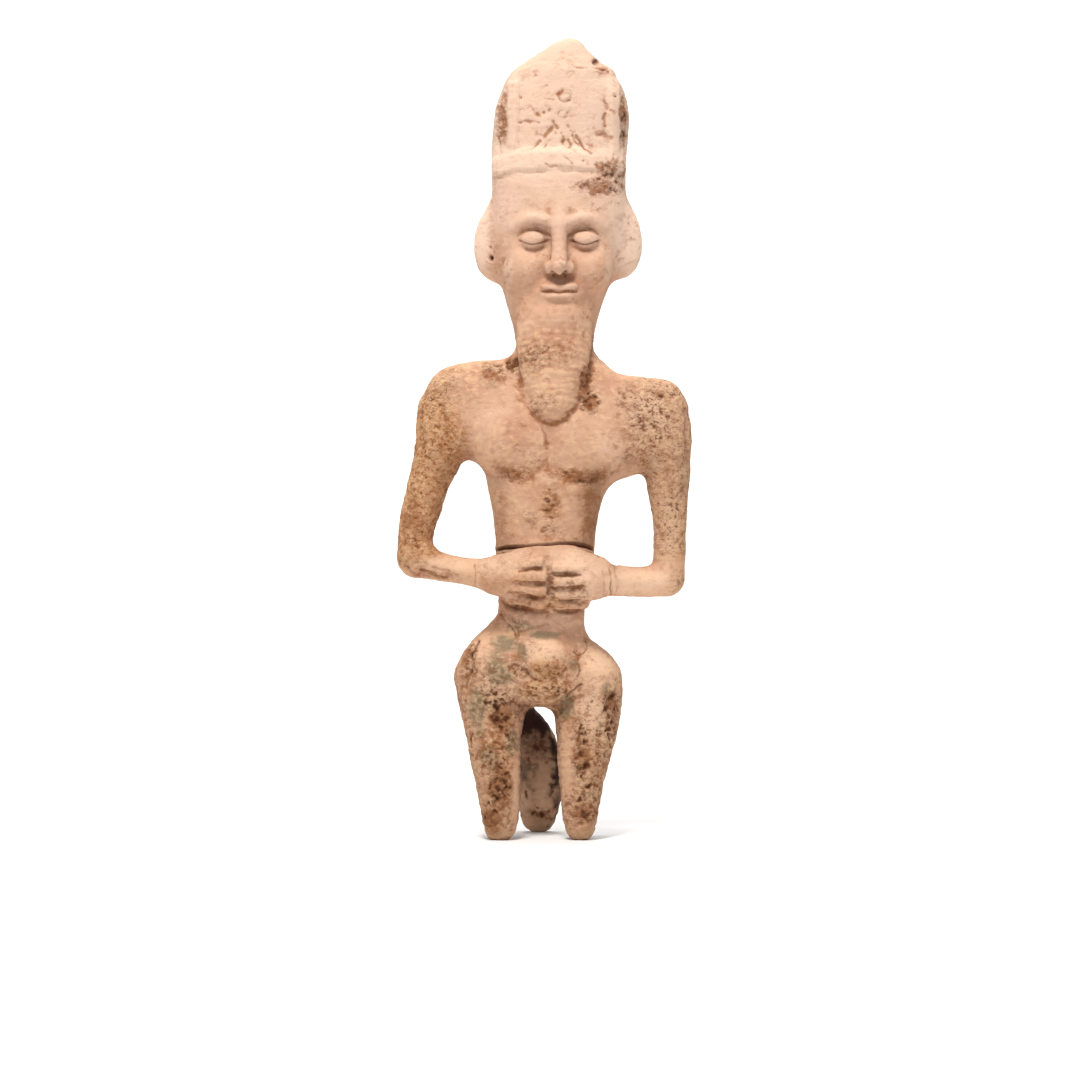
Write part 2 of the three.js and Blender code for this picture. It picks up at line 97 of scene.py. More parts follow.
# x, top edge, bottom edge, half the thickness
YOKE = [
    (-60.4, 208.4, 198.6, 5.0),
    (-59.6, 216.5, 192.5, 9.0),
    (-57.8, 225.9, 188.0, 11.5),
    (-53.4, 231.9, 188.0, 13.5),
    (-46.9, 235.4, 189.0, 14.5),
    (-35.4, 237.9, 189.0, 15.5),
    (-17.0, 239.0, 186.5, 16.5),
    (23.0, 238.0, 181.5, 16.5),
    (37.4, 231.9, 180.0, 15.5),
    (52.9, 229.7, 183.0, 14.5),
    (61.8, 227.7, 183.0, 13.0),
    (67.2, 223.2, 184.0, 11.0),
    (69.2, 216.0, 190.0, 8.5),
    (70.0, 206.5, 196.5, 5.0),
]
# limbs: x, y, z, radius, depth
ARM_L = [
    (-52.2, 1.0, 214.0, 11.0, 11.9),
    (-53.1, 1.5, 191.5, 12.0, 13.0),
    (-57.6, 2.5, 178.0, 10.2, 11.0),
    (-59.9, 2.5, 169.0, 9.5, 10.3),
    (-62.6, 2.0, 160.1, 9.2, 9.9),
    (-64.4, 1.0, 149.0, 8.6, 9.3),
    (-64.2, 0.0, 140.3, 8.8, 9.4),
]
FORE_L = [
    (-62.6, 0.0, 139.2, 9.4, 9.8),
    (-53.9, -3.5, 136.1, 7.5, 8.1),
    (-43.4, -8.0, 134.0, 6.7, 7.4),
    (-34.4, -12.0, 132.6, 7.0, 7.8),
    (-24.9, -14.8, 131.4, 8.8, 9.0),
]
ARM_R = [
    (60.3, 1.0, 214.0, 11.8, 12.5),
    (61.8, 1.5, 191.5, 11.7, 12.6),
    (62.0, 2.0, 181.0, 11.0, 11.9),
    (62.3, 2.5, 169.1, 9.5, 10.4),
    (62.8, 2.5, 160.1, 8.5, 9.4),
    (62.8, 2.0, 151.1, 8.0, 8.8),
    (62.5, 0.5, 137.2, 8.1, 9.0),
    (61.9, 0.0, 130.0, 8.1, 9.0),
]
FORE_R = [
    (61.0, 0.0, 129.0, 8.2, 9.0),
    (50.4, -3.5, 128.0, 7.5, 8.4),
    (40.4, -8.0, 128.2, 7.4, 8.2),
    (31.4, -12.0, 128.6, 7.8, 8.4),
    (22.9, -15.0, 129.6, 9.6, 9.4),
]
LEG_L = [
    (-23.8, 4.0, 81.0, 17.0, 18.2),
    (-24.9, 3.0, 77.0, 18.6, 20.0),
    (-25.4, 1.0, 64.3, 16.2, 18.0),
    (-25.2, -2.0, 52.0, 13.8, 15.4),
    (-24.1, -5.5, 39.4, 12.3, 13.2),
    (-22.7, -9.0, 24.4, 10.6, 11.2),
    (-21.7, -11.5, 12.0, 9.1, 9.6),
    (-21.6, -12.5, 6.6, 8.0, 8.4),
]
LEG_R = [
    (18.4, 4.0, 81.0, 15.8, 17.6),
    (20.4, 3.0, 77.0, 18.0, 20.0),
    (21.9, 1.0, 64.3, 16.8, 18.0),
    (21.2, -2.0, 53.0, 15.2, 15.6),
    (20.0, -5.5, 41.0, 13.1, 13.4),
    (18.6, -9.0, 25.0, 10.5, 11.2),
    (18.0, -11.5, 12.0, 8.9, 9.4),
    (18.1, -12.5, 6.6, 7.6, 8.2),
]
LEG_B = [
    (-19.5, 15.0, 76.0, 11.0, 9.0),
    (-16.5, 22.0, 66.0, 10.2, 8.6),
    (-12.3, 29.0, 57.5, 9.6, 8.2),
    (-7.0, 33.5, 51.0, 9.8, 8.0),
    (-3.4, 36.0, 44.0, 10.4, 8.0),
    (-2.4, 38.5, 31.0, 10.8, 8.0),
    (-2.3, 40.5, 17.0, 10.7, 7.9),
    (-3.0, 41.5, 8.4, 9.0, 7.0),
]
BEARD = [
    (5.5, -6.0, 272.0, 15.0, 9.0),
    (5.2, -9.5, 260.0, 19.0, 11.5),
    (4.9, -11.5, 246.4, 18.6, 12.0),
    (4.7, -13.5, 231.4, 16.2, 12.0),
    (4.5, -15.5, 221.5, 12.9, 11.2),
    (4.2, -16.6, 215.5, 8.6, 9.0),
]
FACE_X, BRIM, THIRD, SKIN = 7.5, 330.0, 25.0, -21.3
EYE = 12.8
BROW = BRIM - THIRD
NOSE = BROW - THIRD
CHIN = NOSE - THIRD
LIDS = BROW - 0.3 * THIRD
MOUTH = NOSE - THIRD / 3


# ---------------------------------------------------------------------------
# Curves and noise
# ---------------------------------------------------------------------------
def through(xs, ys):
    """Monotone cubic through the points, held at both ends."""
    o = np.argsort(xs)
    x, y = np.asarray(xs, float)[o], np.asarray(ys, float)[o]
    h = np.diff(x)
    d = np.diff(y) / h
    m = np.empty(len(x))
    m[0], m[-1] = d[0], d[-1]
    w1, w2 = 2 * h[1:] + h[:-1], h[1:] + 2 * h[:-1]
    same = d[:-1] * d[1:] > 0
    with np.errstate(divide="ignore", invalid="ignore"):
        inner = (w1 + w2) / (w1 / d[:-1] + w2 / d[1:])
    m[1:-1] = np.where(same, inner, 0.0)

    def at(v):
        t = np.clip(v, x[0], x[-1])
        i = np.clip(np.searchsorted(x, t, side="right") - 1, 0, len(h) - 1)
        u = (t - x[i]) / h[i]
        return (
            y[i] * (1 + 2 * u) * (1 - u) ** 2
            + h[i] * m[i] * u * (1 - u) ** 2
            + y[i + 1] * u * u * (3 - 2 * u)
            + h[i] * m[i + 1] * u * u * (u - 1)
        ).astype(F)

    return at


def spline(rows, n):
    """A centripetal-like smooth resampling of limb stations to n rows."""
    r = np.asarray(rows, float)
    s = np.concatenate([[0], np.cumsum(np.linalg.norm(np.diff(r[:, :3], axis=0), axis=1))])
    t = np.linspace(0, s[-1], n)
    out = [through(s, r[:, k])(t) for k in range(r.shape[1])]
    # the centre line is a Catmull-Rom curve, which bends more evenly
    for k in range(3):
        tangent = np.gradient(r[:, k], s)
        i = np.clip(np.searchsorted(s, t, side="right") - 1, 0, len(s) - 2)
        h = s[i + 1] - s[i]
        u = (t - s[i]) / h
        out[k] = (
            (1 + 2 * u) * (1 - u) ** 2 * r[i, k]
            + u * (1 - u) ** 2 * h * tangent[i]
            + u * u * (3 - 2 * u) * r[i + 1, k]
            + u * u * (u - 1) * h * tangent[i + 1]
        )
    return np.stack(out, axis=1)


rng = np.random.default_rng(20261127)
GRAD = rng.normal(size=(32, 32, 32, 3))
GRAD /= np.linalg.norm(GRAD, axis=3, keepdims=True)
GRAD = GRAD.astype(F)
JIT = rng.random((32, 32, 32, 4)).astype(F)


def noise(p, size, seed=0):
    """Gradient noise, about -1 to 1, with features `size` across."""
    q = p / F(size) + F(seed * 7.31)
    i = np.floor(q).astype(np.int32)
    f = (q - i).astype(F)
    w = f * f * f * (f * (f * 6 - 15) + 10)
    total = 0
    for a in (0, 1):
        wa = w[:, 0] if a else 1 - w[:, 0]
        for b in (0, 1):
            wb = w[:, 1] if b else 1 - w[:, 1]
            for c in (0, 1):
                wc = w[:, 2] if c else 1 - w[:, 2]
                g = GRAD[(i[:, 0] + a) & 31, (i[:, 1] + b) & 31, (i[:, 2] + c) & 31]
                dot = (
                    g[:, 0] * (f[:, 0] - a) + g[:, 1] * (f[:, 1] - b) + g[:, 2] * (f[:, 2] - c)
                )
                total = total + wa * wb * wc * dot
    return total * F(1.6)


def fbm(p, size, octaves=3, gain=0.5, seed=0):
    total, amp, norm = 0, 1.0, 0.0
    for o in range(octaves):
        total = total + F(amp) * noise(p, size / 2**o, seed + o)
        norm += amp
        amp *= gain
    return total / F(norm)


def pits(p, cell, chance, size, seed=0):
    """Scattered round pits: 0 outside, up to 1 in the middle. chance (per point) says how many of the cells hold one."""
    q = p / F(cell) + F(seed * 3.7)
    i = np.floor(q).astype(np.int32)
    best = np.zeros(len(p), F)
    for a in (-1, 0, 1):
        for b in (-1, 0, 1):
            for c in (-1, 0, 1):
                j = i + np.array([a, b, c], np.int32)
                r = JIT[(j[:, 0] + seed) & 31, j[:, 1] & 31, j[:, 2] & 31]
                d = np.sqrt((((j + r[:, :3]) - q) ** 2).sum(1)) * F(cell)
                pick = np.modf(r[:, 3] * 7.77 + r[:, 0] * 3.1)[0]
                rad = F(size) * (0.45 + 0.9 * r[:, 3])
                dip = np.clip(1 - d / rad, 0, 1) * (pick < chance)
                np.maximum(best, dip.astype(F), out=best)
    return best


def smooth(a, b, v):
    t = np.clip((v - a) / (b - a), 0, 1)
    return t * t * (3 - 2 * t)


# ---------------------------------------------------------------------------
# Solids as signed distances (rough far off, good near the skin)
# ---------------------------------------------------------------------------
T = np.asarray(TRUNK)
t_left, t_right, t_front, t_back = (through(T[:, 0], T[:, k]) for k in (1, 2, 3, 4))
t_square = through([66, 100, 230, 262, 290, 372, 399], [2.2, 2.3, 2.2, 2.3, 2.6, 2.6, 2.1])


def trunk(p):
    x, y, z = p[:, 0], p[:, 1], p[:, 2]
    l, r = t_left(z), t_right(z)
    c, h = (l + r) / 2, (r - l) / 2
    deep = np.where(y < 0, t_front(z), t_back(z))
    n = t_square(z)
    rho = ((np.abs(x - c) / h) ** n + (np.abs(y) / deep) ** n) ** (1 / n)
    rad = np.hypot(x - c, y)
    side = np.where(rho > 0.05, rad * (1 - 1 / np.maximum(rho, 0.05)), -np.minimum(h, deep))
    over = np.maximum(z - T[-1, 0], T[0, 0] - z)
    cap = over - 0.1
    out = np.hypot(np.maximum(side, 0), np.maximum(cap, 0))
    return np.where(cap > 0, out, np.maximum(side, cap)).astype(F)


Y = np.asarray(YOKE)
y_top, y_bottom, y_deep = (through(Y[:, 0], Y[:, k]) for k in (1, 2, 3))


def yoke(p):
    x, y, z = p[:, 0], p[:, 1], p[:, 2]
    t, b = y_top(x), y_bottom(x)
    c, h = (t + b) / 2, (t - b) / 2
    deep = y_deep(x)
    n = 2.25
    rho = ((np.abs(z - c) / h) ** n + (np.abs(y) / deep) ** n) ** (1 / n)
    rad = np.hypot(z - c, y)
    side = np.where(rho > 0.05, rad * (1 - 1 / np.maximum(rho, 0.05)), -np.minimum(h, deep))
    over = np.maximum(x - Y[-1, 0], Y[0, 0] - x) - 0.8
    out = np.hypot(np.maximum(side, 0), np.maximum(over, 0))
    return np.where(over > 0, out, np.maximum(side, over)).astype(F)


def make_limb(rows, n=14):
    s = spline(rows, n)
    k = float(np.mean(s[:, 4] / s[:, 3]))
    a = s[:, :3].copy()
    a[:, 1] /= k
    r = s[:, 3]
    a = a.astype(F)

    def f(p):
        q = p * np.array([1, 1 / k, 1], F)
        best = np.full(len(p), 1e9, F)
        for i in range(n - 1):
            ab = a[i + 1] - a[i]
            ap = q - a[i]
            t = np.clip((ap @ ab) / (ab @ ab), 0, 1)
            d = np.sqrt(((ap - t[:, None] * ab) ** 2).sum(1)) - (r[i] + t * (r[i + 1] - r[i]))
            np.minimum(best, d.astype(F), out=best)
        return best

    reach = s[:, 3].max() * max(k, 1)
    lo, hi = s[:, :3].min(0) - reach, s[:, :3].max(0) + reach
    return f, lo, hi


def make_blob(centre, radii, turn=0.0):
    """An ellipsoid, turned about Y by `turn` degrees."""
    c, r = np.asarray(centre, F), np.asarray(radii, F)
    ca, sa = F(math.cos(math.radians(turn))), F(math.sin(math.radians(turn)))

    def f(p):
        q = p - c
        if turn:
            q = np.stack([ca * q[:, 0] + sa * q[:, 2], q[:, 1], -sa * q[:, 0] + ca * q[:, 2]], 1)
        k0 = np.sqrt(((q / r) ** 2).sum(1))
        k1 = np.sqrt(((q / (r * r)) ** 2).sum(1))
        return (k0 * (k0 - 1) / np.maximum(k1, 1e-6)).astype(F)

    reach = max(radii) if turn else np.asarray(radii)
    return f, np.asarray(centre) - reach, np.asarray(centre) + reach


def join(a, b, k):
    h = np.maximum(k - np.abs(a - b), 0) / k
    return np.minimum(a, b) - h * h * k * 0.25


def carve(a, b, k):
    return -join(-a, b, k)


def finger(points, radius):
    rows = [(x, y, z, radius * s, radius * s * 1.05) for x, y, z, s in points]
    return make_limb(rows, 6)


# Swelling of the two joined hands, and where its front lies
HANDS = (2.2, -14.0, 131.4)
HANDS_R = (27.0, 12.0, 16.4)


def hand_y(x, z):
    u = 1 - ((x - HANDS[0]) / HANDS_R[0]) ** 2 - ((z - HANDS[2]) / HANDS_R[2]) ** 2
    return HANDS[1] - HANDS_R[1] * math.sqrt(max(u, 0.04))


def finger_row(x0, z0, x1, z1, r):
    """One finger from its knuckle to its tip, lying on the swelling."""
    out = []
    for t, s in ((0, 1.12), (0.45, 0.96), (1, 1.0)):
        x, z = x0 + t * (x1 - x0), z0 + t * (z1 - z0)
        out.append((x, hand_y(x, z) + 0.1 * r + (0.35 if t == 0 else 0), z, s))
    return finger(out, r)


SOLIDS = [("trunk", trunk, None, None, 0)]


def put(made, k):
    f, lo, hi = made
    SOLIDS.append(("add", f, lo - k - 3, hi + k + 3, k))


def cut(made, k):
    f, lo, hi = made
    SOLIDS.append(("cut", f, lo - k - 3, hi + k + 3, k))


put((yoke, np.array([-66, -18, 178.0]), np.array([76, 18, 241.0])), 7.0)
put(make_limb(ARM_L, 16), 6.0)
put(make_limb(ARM_R, 16), 6.0)
put(make_limb(FORE_L, 12), 3.5)
put(make_limb(FORE_R, 12), 3.5)
put(make_limb(LEG_L, 18), 6.0)
put(make_limb(LEG_R, 18), 6.0)
put(make_blob((-20.5, 13.0, 80.0), (19.8, 17.5, 17.0)), 8.0)
put(make_blob((14.5, 13.0, 80.0), (18.8, 17.5, 17.0)), 8.0)
cut(make_blob((-2.0, 31.5, 84.0), (2.4, 6.5, 15.0)), 5.0)
put(make_limb(LEG_B, 18), 5.0)
# breast: two flat swellings with a marked lower edge
put(make_blob((-17.0, -9.6, 199.0), (18.5, 9.0, 17.5), 6), 6.0)
put(make_blob((21.5, -9.6, 198.0), (20.0, 9.0, 18.0), -6), 6.0)
# the worn lump on the right of the cap's top
put(make_blob((gx(605), -1.5, gz(74)), (5.4, 7.0, 4.2), -20), 2.0)
cut(make_blob((gx(600), -9.0, gz(62)), (4.2, 7.0, 2.6), 25), 2.0)
# ears
put(make_blob((gx(496), 0.0, gz(243)), (11.0, 6.4, 18.8), -4), 7.5)
put(make_blob((gx(620), 0.0, gz(241)), (11.0, 6.4, 18.8), 4), 7.5)
# boss and lower belly
put(make_blob((gx(545), -14.0, gz(660)), (10.8, 11.2, 9.0)), 6.0)
put(make_blob((gx(547), -10.5, gz(687)), (12.0, 8.5, 8.5)), 6.0)
# hands
put(make_blob(HANDS, HANDS_R), 5.0)
put(make_blob((gx(503), -16.5, gz(576)), (10.5, 8.2, 9.6), -8), 4.0)
put(make_blob((gx(594), -16.5, gz(577)), (9.5, 8.2, 10.4), 6), 4.0)
for x0, z0, x1, z1, r in (
    (512, 567, 541, 563, 3.0),
    (511, 577, 543, 576.5, 3.3),
    (510, 588, 543, 591, 3.2),
    (512, 598, 541, 603.5, 3.0),
    (586, 569, 556, 568, 3.1),
    (587, 581, 556, 582, 3.4),
    (587, 593, 557, 594, 3.2),
    (583, 603, 558, 604, 2.9),
):
    put(finger_row(gx(x0), gz(z0), gx(x1), gz(z1), r), 1.8)
# the worn seam where the finger tips meet
put(
    make_limb(
        [
            (gx(c), hand_y(gx(c), gz(r)) + 1.3, gz(r), 2.7, 2.7)
            for c, r in ((547, 566), (548, 578), (549, 590), (549, 600), (549, 609))
        ],
        8,
    ),
    1.6,
)
# beard
put(make_limb(BEARD, 12), 2.4)
# the face, on plain thirds
put(make_blob((FACE_X - 15, SKIN + 7.8, NOSE + 4), (10.0, 9.0, 10.5)), 6.0)
put(make_blob((FACE_X + 15, SKIN + 7.8, NOSE + 4), (10.0, 9.0, 10.5)), 6.0)
for way in (-1, 1):
    cut(make_blob((FACE_X + way * EYE, SKIN - 2.2, LIDS + 0.2), (10.0, 5.6, 7.4)), 4.5)
    put(make_blob((FACE_X + way * EYE, SKIN + 3.6, LIDS), (7.0, 5.2, 4.6)), 1.8)
    put(
        make_limb(
            [
                (FACE_X + way * 3.4, SKIN + 0.4, BROW + 0.6, 2.0, 2.0),
                (FACE_X + way * 8.5, SKIN + 0.1, BROW + 2.8, 2.3, 2.3),
                (FACE_X + way * 15.0, SKIN + 1.2, BROW + 3.0, 2.3, 2.3),
                (FACE_X + way * 21.5, SKIN + 4.6, BROW - 0.6, 1.9, 1.9),
            ],
            8,
        ),
        3.2,
    )
put(
    make_limb(
        [
            (FACE_X, SKIN + 4.2, BROW + 9.0, 3.6, 3.6),
            (FACE_X, SKIN + 1.4, BROW + 2.0, 3.6, 3.6),
            (FACE_X, SKIN - 0.4, BROW - 8, 3.5, 3.5),
            (FACE_X, SKIN - 2.6, NOSE + 7.0, 4.1, 4.1),
            (FACE_X, SKIN - 3.6, NOSE + 4.2, 4.6, 4.6),
        ],
        10,
    ),
    3.4,
)
for way in (-1, 1):
    put(make_blob((FACE_X + way * 4.6, SKIN - 0.6, NOSE + 3.4), (3.2, 3.9, 3.2)), 1.8)
    cut(make_blob((FACE_X + way * 2.9, SKIN - 3.8, NOSE + 0.1), (1.6, 2.3, 1.5)), 1.0)
put(make_blob((FACE_X, SKIN + 2.8, MOUTH - 0.5), (11.5, 5.6, 7.0)), 4.0)
put(make_blob((FACE_X - 3.4, SKIN - 0.3, MOUTH + 1.8), (5.8, 3.7, 2.3), -8), 1.2)
put(make_blob((FACE_X + 3.4, SKIN - 0.3, MOUTH + 1.8), (5.8, 3.7, 2.3), 8), 1.2)
put(make_blob((FACE_X, SKIN - 0.3, MOUTH - 2.5), (7.2, 4.0, 2.8)), 1.2)
cut(make_blob((FACE_X, SKIN - 3.4, MOUTH - 6.6), (6.5, 2.6, 1.9)), 3.0)
put(make_blob((FACE_X, SKIN + 2.6, CHIN + 4.8), (10.0, 6.4, 6.2)), 4.5)


def body(p, margin=0.0):
    """Signed distance of the whole figure."""
    d = trunk(p)
    for kind, f, lo, hi, k in SOLIDS[1:]:
        near = np.all((p > lo - margin) & (p < hi + margin), axis=1)
        if not near.any():
            continue
        i = np.nonzero(near)[0]
        e = f(p[i])
        d[i] = join(d[i], e, k) if kind == "add" else carve(d[i], e, k)
    return d


# ---------------------------------------------------------------------------
# Skin: a surface net on a grid, refined and drawn onto the exact surface
# ---------------------------------------------------------------------------
def net(f, lo, hi, h):
    n = np.ceil((np.asarray(hi) - lo) / h).astype(int) + 1
    axes = [lo[k] + h * np.arange(n[k]) for k in range(3)]
    g = np.stack(np.meshgrid(*axes, indexing="ij"), -1).reshape(-1, 3).astype(F)
    v = f(g).reshape(n)
    inside = v < 0
    nx, ny, nz = n
    corners = [(a, b, c) for a in (0, 1) for b in (0, 1) for c in (0, 1)]
    count = sum(
        inside[a : nx - 1 + a, b : ny - 1 + b, c : nz - 1 + c].astype(np.uint8)
        for a, b, c in corners
    )
    active = (count > 0) & (count < 8)
    cells = np.argwhere(active)
    index = np.full(active.shape, -1, np.int64)
    index[tuple(cells.T)] = np.arange(len(cells))
    val = np.stack([v[cells[:, 0] + a, cells[:, 1] + b, cells[:, 2] + c] for a, b, c in corners], 1)
    total = np.zeros((len(cells), 3))
    hits = np.zeros(len(cells))
    for i, ci in enumerate(corners):
        for j, cj in enumerate(corners):
            if j <= i or sum(abs(a - b) for a, b in zip(ci, cj)) != 1:
                continue
            cross = (val[:, i] < 0) != (val[:, j] < 0)
            with np.errstate(divide="ignore", invalid="ignore"):
                t = np.where(cross, val[:, i] / (val[:, i] - val[:, j]), 0)
            for k in range(3):
                total[:, k] += cross * (ci[k] + t * (cj[k] - ci[k]))
            hits += cross
    verts = np.asarray(lo) + h * (cells + total / hits[:, None])
    quads = []
    for k in range(3):
        u, w = (k + 1) % 3, (k + 2) % 3
        a = [slice(None)] * 3
        b = [slice(None)] * 3
        a[k], b[k] = slice(0, n[k] - 1), slice(1, n[k])
        flip = inside[tuple(a)] != inside[tuple(b)]
        e = np.argwhere(flip)
        e = e[(e[:, u] > 0) & (e[:, w] > 0) & (e[:, u] < n[u] - 1) & (e[:, w] < n[w] - 1)]
        out = inside[tuple(e.T)]

        def cell(du, dw):
            q = e.copy()
            q[:, u] += du
            q[:, w] += dw
            return index[tuple(q.T)]

        q = np.stack([cell(-1, -1), cell(0, -1), cell(0, 0), cell(-1, 0)], 1)
        q[~out] = q[~out][:, ::-1]
        quads.append(q)
    return verts, np.concatenate(quads)


def refine(verts, quads):
    """Each quad becomes four."""
    e = np.stack([quads, np.roll(quads, -1, axis=1)], 2).reshape(-1, 2)
    key = np.sort(e, axis=1)
    key = key[:, 0] * len(verts) + key[:, 1]
    uniq, inv = np.unique(key, return_inverse=True)
    mid = (verts[uniq // len(verts)] + verts[uniq % len(verts)]) / 2
    face = verts[quads].mean(1)
    n, m = len(verts), len(uniq)
    em = (inv + n).reshape(-1, 4)
    fm = np.arange(len(quads)) + n + m
    new = [np.stack([quads[:, k], em[:, k], fm, em[:, k - 1]], 1) for k in range(4)]
    return np.concatenate([verts, mid, face]), np.concatenate(new)


def normals(verts, quads):
    a = verts[quads[:, 2]] - verts[quads[:, 0]]
    b = verts[quads[:, 3]] - verts[quads[:, 1]]
    fn = np.cross(a, b)
    out = np.stack(
        [
            np.bincount(quads.ravel(), np.repeat(fn[:, k], 4), minlength=len(verts))
            for k in range(3)
        ],
        1,
    )
    return out / np.maximum(np.linalg.norm(out, axis=1, keepdims=True), 1e-12)


def draw_on(verts, quads, f, rounds):
    for _ in range(rounds):
        n = normals(verts, quads)
        p = verts.astype(F)
        step = F(0.15)
        d = f(p)
        g = (f((p + step * n).astype(F)) - d) / step
        verts = verts - n * np.clip(d / np.clip(g, 0.5, 30.0), -1.0, 1.0)[:, None]
    return verts


H = 1.3
v, q = net(body, np.array([-80.0, -40.0, -3.0]), np.array([80.0, 56.0, 404.0]), H)
v, q = refine(v, q)
v = draw_on(v, q, body, 2)
nrm = normals(v, q)
print("skin", len(v), "points", len(q), "quads")


# ---------------------------------------------------------------------------
# Marks drawn on the front
# ---------------------------------------------------------------------------
def line_gap(x, z, points, reach=4.0):
    """Distance in the front plane to a polyline, only looked at near it."""
    a = np.asarray(points, F)
    lo, hi = a.min(0) - reach, a.max(0) + reach
    out = np.full(len(x), 99.0, F)
    i = np.nonzero((x > lo[0]) & (x < hi[0]) & (z > lo[1]) & (z < hi[1]))[0]
    if not len(i):
        return out
    qx, qz = x[i], z[i]
    best = np.full(len(i), 99.0, F)
    for s, e in zip(a[:-1], a[1:]):
        d = e - s
        t = np.clip(((qx - s[0]) * d[0] + (qz - s[1]) * d[1]) / max(d @ d, 1e-6), 0, 1)
        best = np.minimum(best, np.hypot(qx - s[0] - t * d[0], qz - s[1] - t * d[1]))
    out[i] = best
    return out


def curve(points, n=8):
    """The same points, rounded off."""
    a = np.asarray(points, float)
    s = np.concatenate([[0], np.cumsum(np.linalg.norm(np.diff(a, axis=0), axis=1))])
    t = np.linspace(0, s[-1], n * (len(a) - 1) + 1)
    i = np.clip(np.searchsorted(s, t, side="right") - 1, 0, len(s) - 2)
    h = s[i + 1] - s[i]
    u = ((t - s[i]) / h)[:, None]
    g = np.gradient(a, s, axis=0)
    h = h[:, None]
    return (
        (1 + 2 * u) * (1 - u) ** 2 * a[i]
        + u * (1 - u) ** 2 * h * g[i]
        + u * u * (3 - 2 * u) * a[i + 1]
        + u * u * (u - 1) * h * g[i + 1]
    )


def patch(x, z, col, row, rc, rr, soft=0.5):
    """A soft-edged oval on the drawing grid: 1 inside, 0 outside."""
    d = np.hypot((x - gx(col)) / (rc * STEP), (z - gz(row)) / (rr * STEP))
    return 1 - smooth(1 - soft, 1 + soft, d)


p0 = v.astype(F)
X, Yc, Z = p0[:, 0], p0[:, 1], p0[:, 2]
front = smooth(0.05, 0.45, -nrm[:, 1]).astype(F)
behind = 1 - front
# a wavering copy of the front plane, so that no mark is drawn with a ruler
XW = X + 0.55 * noise(p0, 6.0, 41) + 0.25 * noise(p0, 2.6, 43)
ZW = Z + 0.55 * noise(p0, 6.0, 42) + 0.25 * noise(p0, 2.6, 44)

n_big = fbm(p0, 26.0, 2, 0.5, 1)
n_mid = fbm(p0, 9.0, 3, 0.55, 5)
n_fine = fbm(p0, 2.8, 2, 0.6, 9)
n_patch = fbm(p0, 17.0, 3, 0.55, 13)
n_blot = fbm(p0, 7.0, 3, 0.6, 17)

height = np.zeros(len(v), F)  # how far the skin is pushed out
dark_earth_and_shade = np.zeros(len(v), F)  # dark earth left in hollows, and painted shade in the gap over the hands and between the fingers
stain_and_shade = np.zeros(len(v), F)  # brown earth spread on the skin, and painted shade in recesses and under parts


def groove(points, width, depth, dark=0.8, worn=0.6, brown=False, clean=False):
    """A line pressed into the front, worn away here and there."""
    g = line_gap(X if clean else XW, Z if clean else ZW, curve(points), 3 * width + 1)
    i = np.nonzero(g < 3 * width + 1)[0]
    keep = (1 - worn * smooth(-0.15, 0.45, n_mid[i] + 0.5 * n_fine[i])) * front[i]
    w = width * (1.0 if clean else np.maximum(0.85 + 0.6 * n_fine[i], 0.35))
    height[i] -= depth * np.exp(-((g[i] / w) ** 2)) * keep
    to = stain_and_shade if brown else dark_earth_and_shade
    to[i] = np.maximum(to[i], dark * np.exp(-((g[i] / ((1.2 if brown else 0.85) * w)) ** 2)) * keep)


def ridge(points, width, rise):
    g = line_gap(XW, ZW, curve(points), 3 * width + 1)
    height[:] += rise * np.exp(-((g / width) ** 2)) * front


def dot(col, row, rc, rr, depth, dark=0.6, brown=False):
    d = np.hypot((XW - gx(col)) / (rc * STEP), (ZW - gz(row)) / (rr * STEP))
    i = np.nonzero(d < 3)[0]
    height[i] -= depth * np.exp(-(d[i] ** 2) * 1.2) * front[i]
    to = stain_and_shade if brown else dark_earth_and_shade
    to[i] = np.maximum(to[i], dark * np.exp(-(d[i] ** 2) * 1.5) * front[i])


def spots(rows, soft=0.5):
    out = np.zeros(len(v), F)
    for col, row, rc, rr, much in rows:
        out = np.maximum(out, much * patch(XW, ZW, col, row, rc, rr, soft) * front)
    return out


# --- cap ---------------------------------------------------------------
head_front = front * smooth(gz(186), gz(178), Z)


def upright(col, r0, r1, half):
    """A vertical band between two rows, as a soft 0..1 mask."""
    d = np.abs(XW - gx(col)) / (half * STEP)
    ends = smooth(gz(r1) - 2, gz(r1) + 2, ZW) * (1 - smooth(gz(r0) - 2, gz(r0) + 2, ZW))
    return (1 - smooth(0.55, 1.3, d)) * ends * head_front


band_l = upright(513, 84, 150, 5.0)
band_r = upright(614.5, 92, 157, 4.8)
side_l = upright(500.5, 86, 147, 6.5)
side_r = upright(624.0, 89, 152, 4.8)
height += 0.85 * band_l + 0.85 * band_r - 1.0 * side_l * (0.7 + 0.9 * n_fine) - 0.8 * side_r
panel = (
    smooth(gx(515), gx(520), XW)
    * (1 - smooth(gx(606), gx(611), XW))
    * smooth(gz(154), gz(149), ZW)
    * (1 - smooth(gz(88), gz(72), ZW))
    * head_front
)
height -= 0.5 * panel
brim_row = 163.0 + 5.5 * ((X - FACE_X) / 33.0) ** 2
brim_d = np.abs((839 - Z / STEP) + 3.2 * n_mid + 2.0 * n_big - brim_row) / 11.0
brim = (1 - smooth(0.45, 1.2, brim_d)) * front
height += 1.15 * brim
height += 0.7 * brim * n_blot
groove(pts((492, 181), (520, 176.5), (560, 175), (600, 178), (626, 187)), 1.8, 0.4, 0.2, 0.7, True)

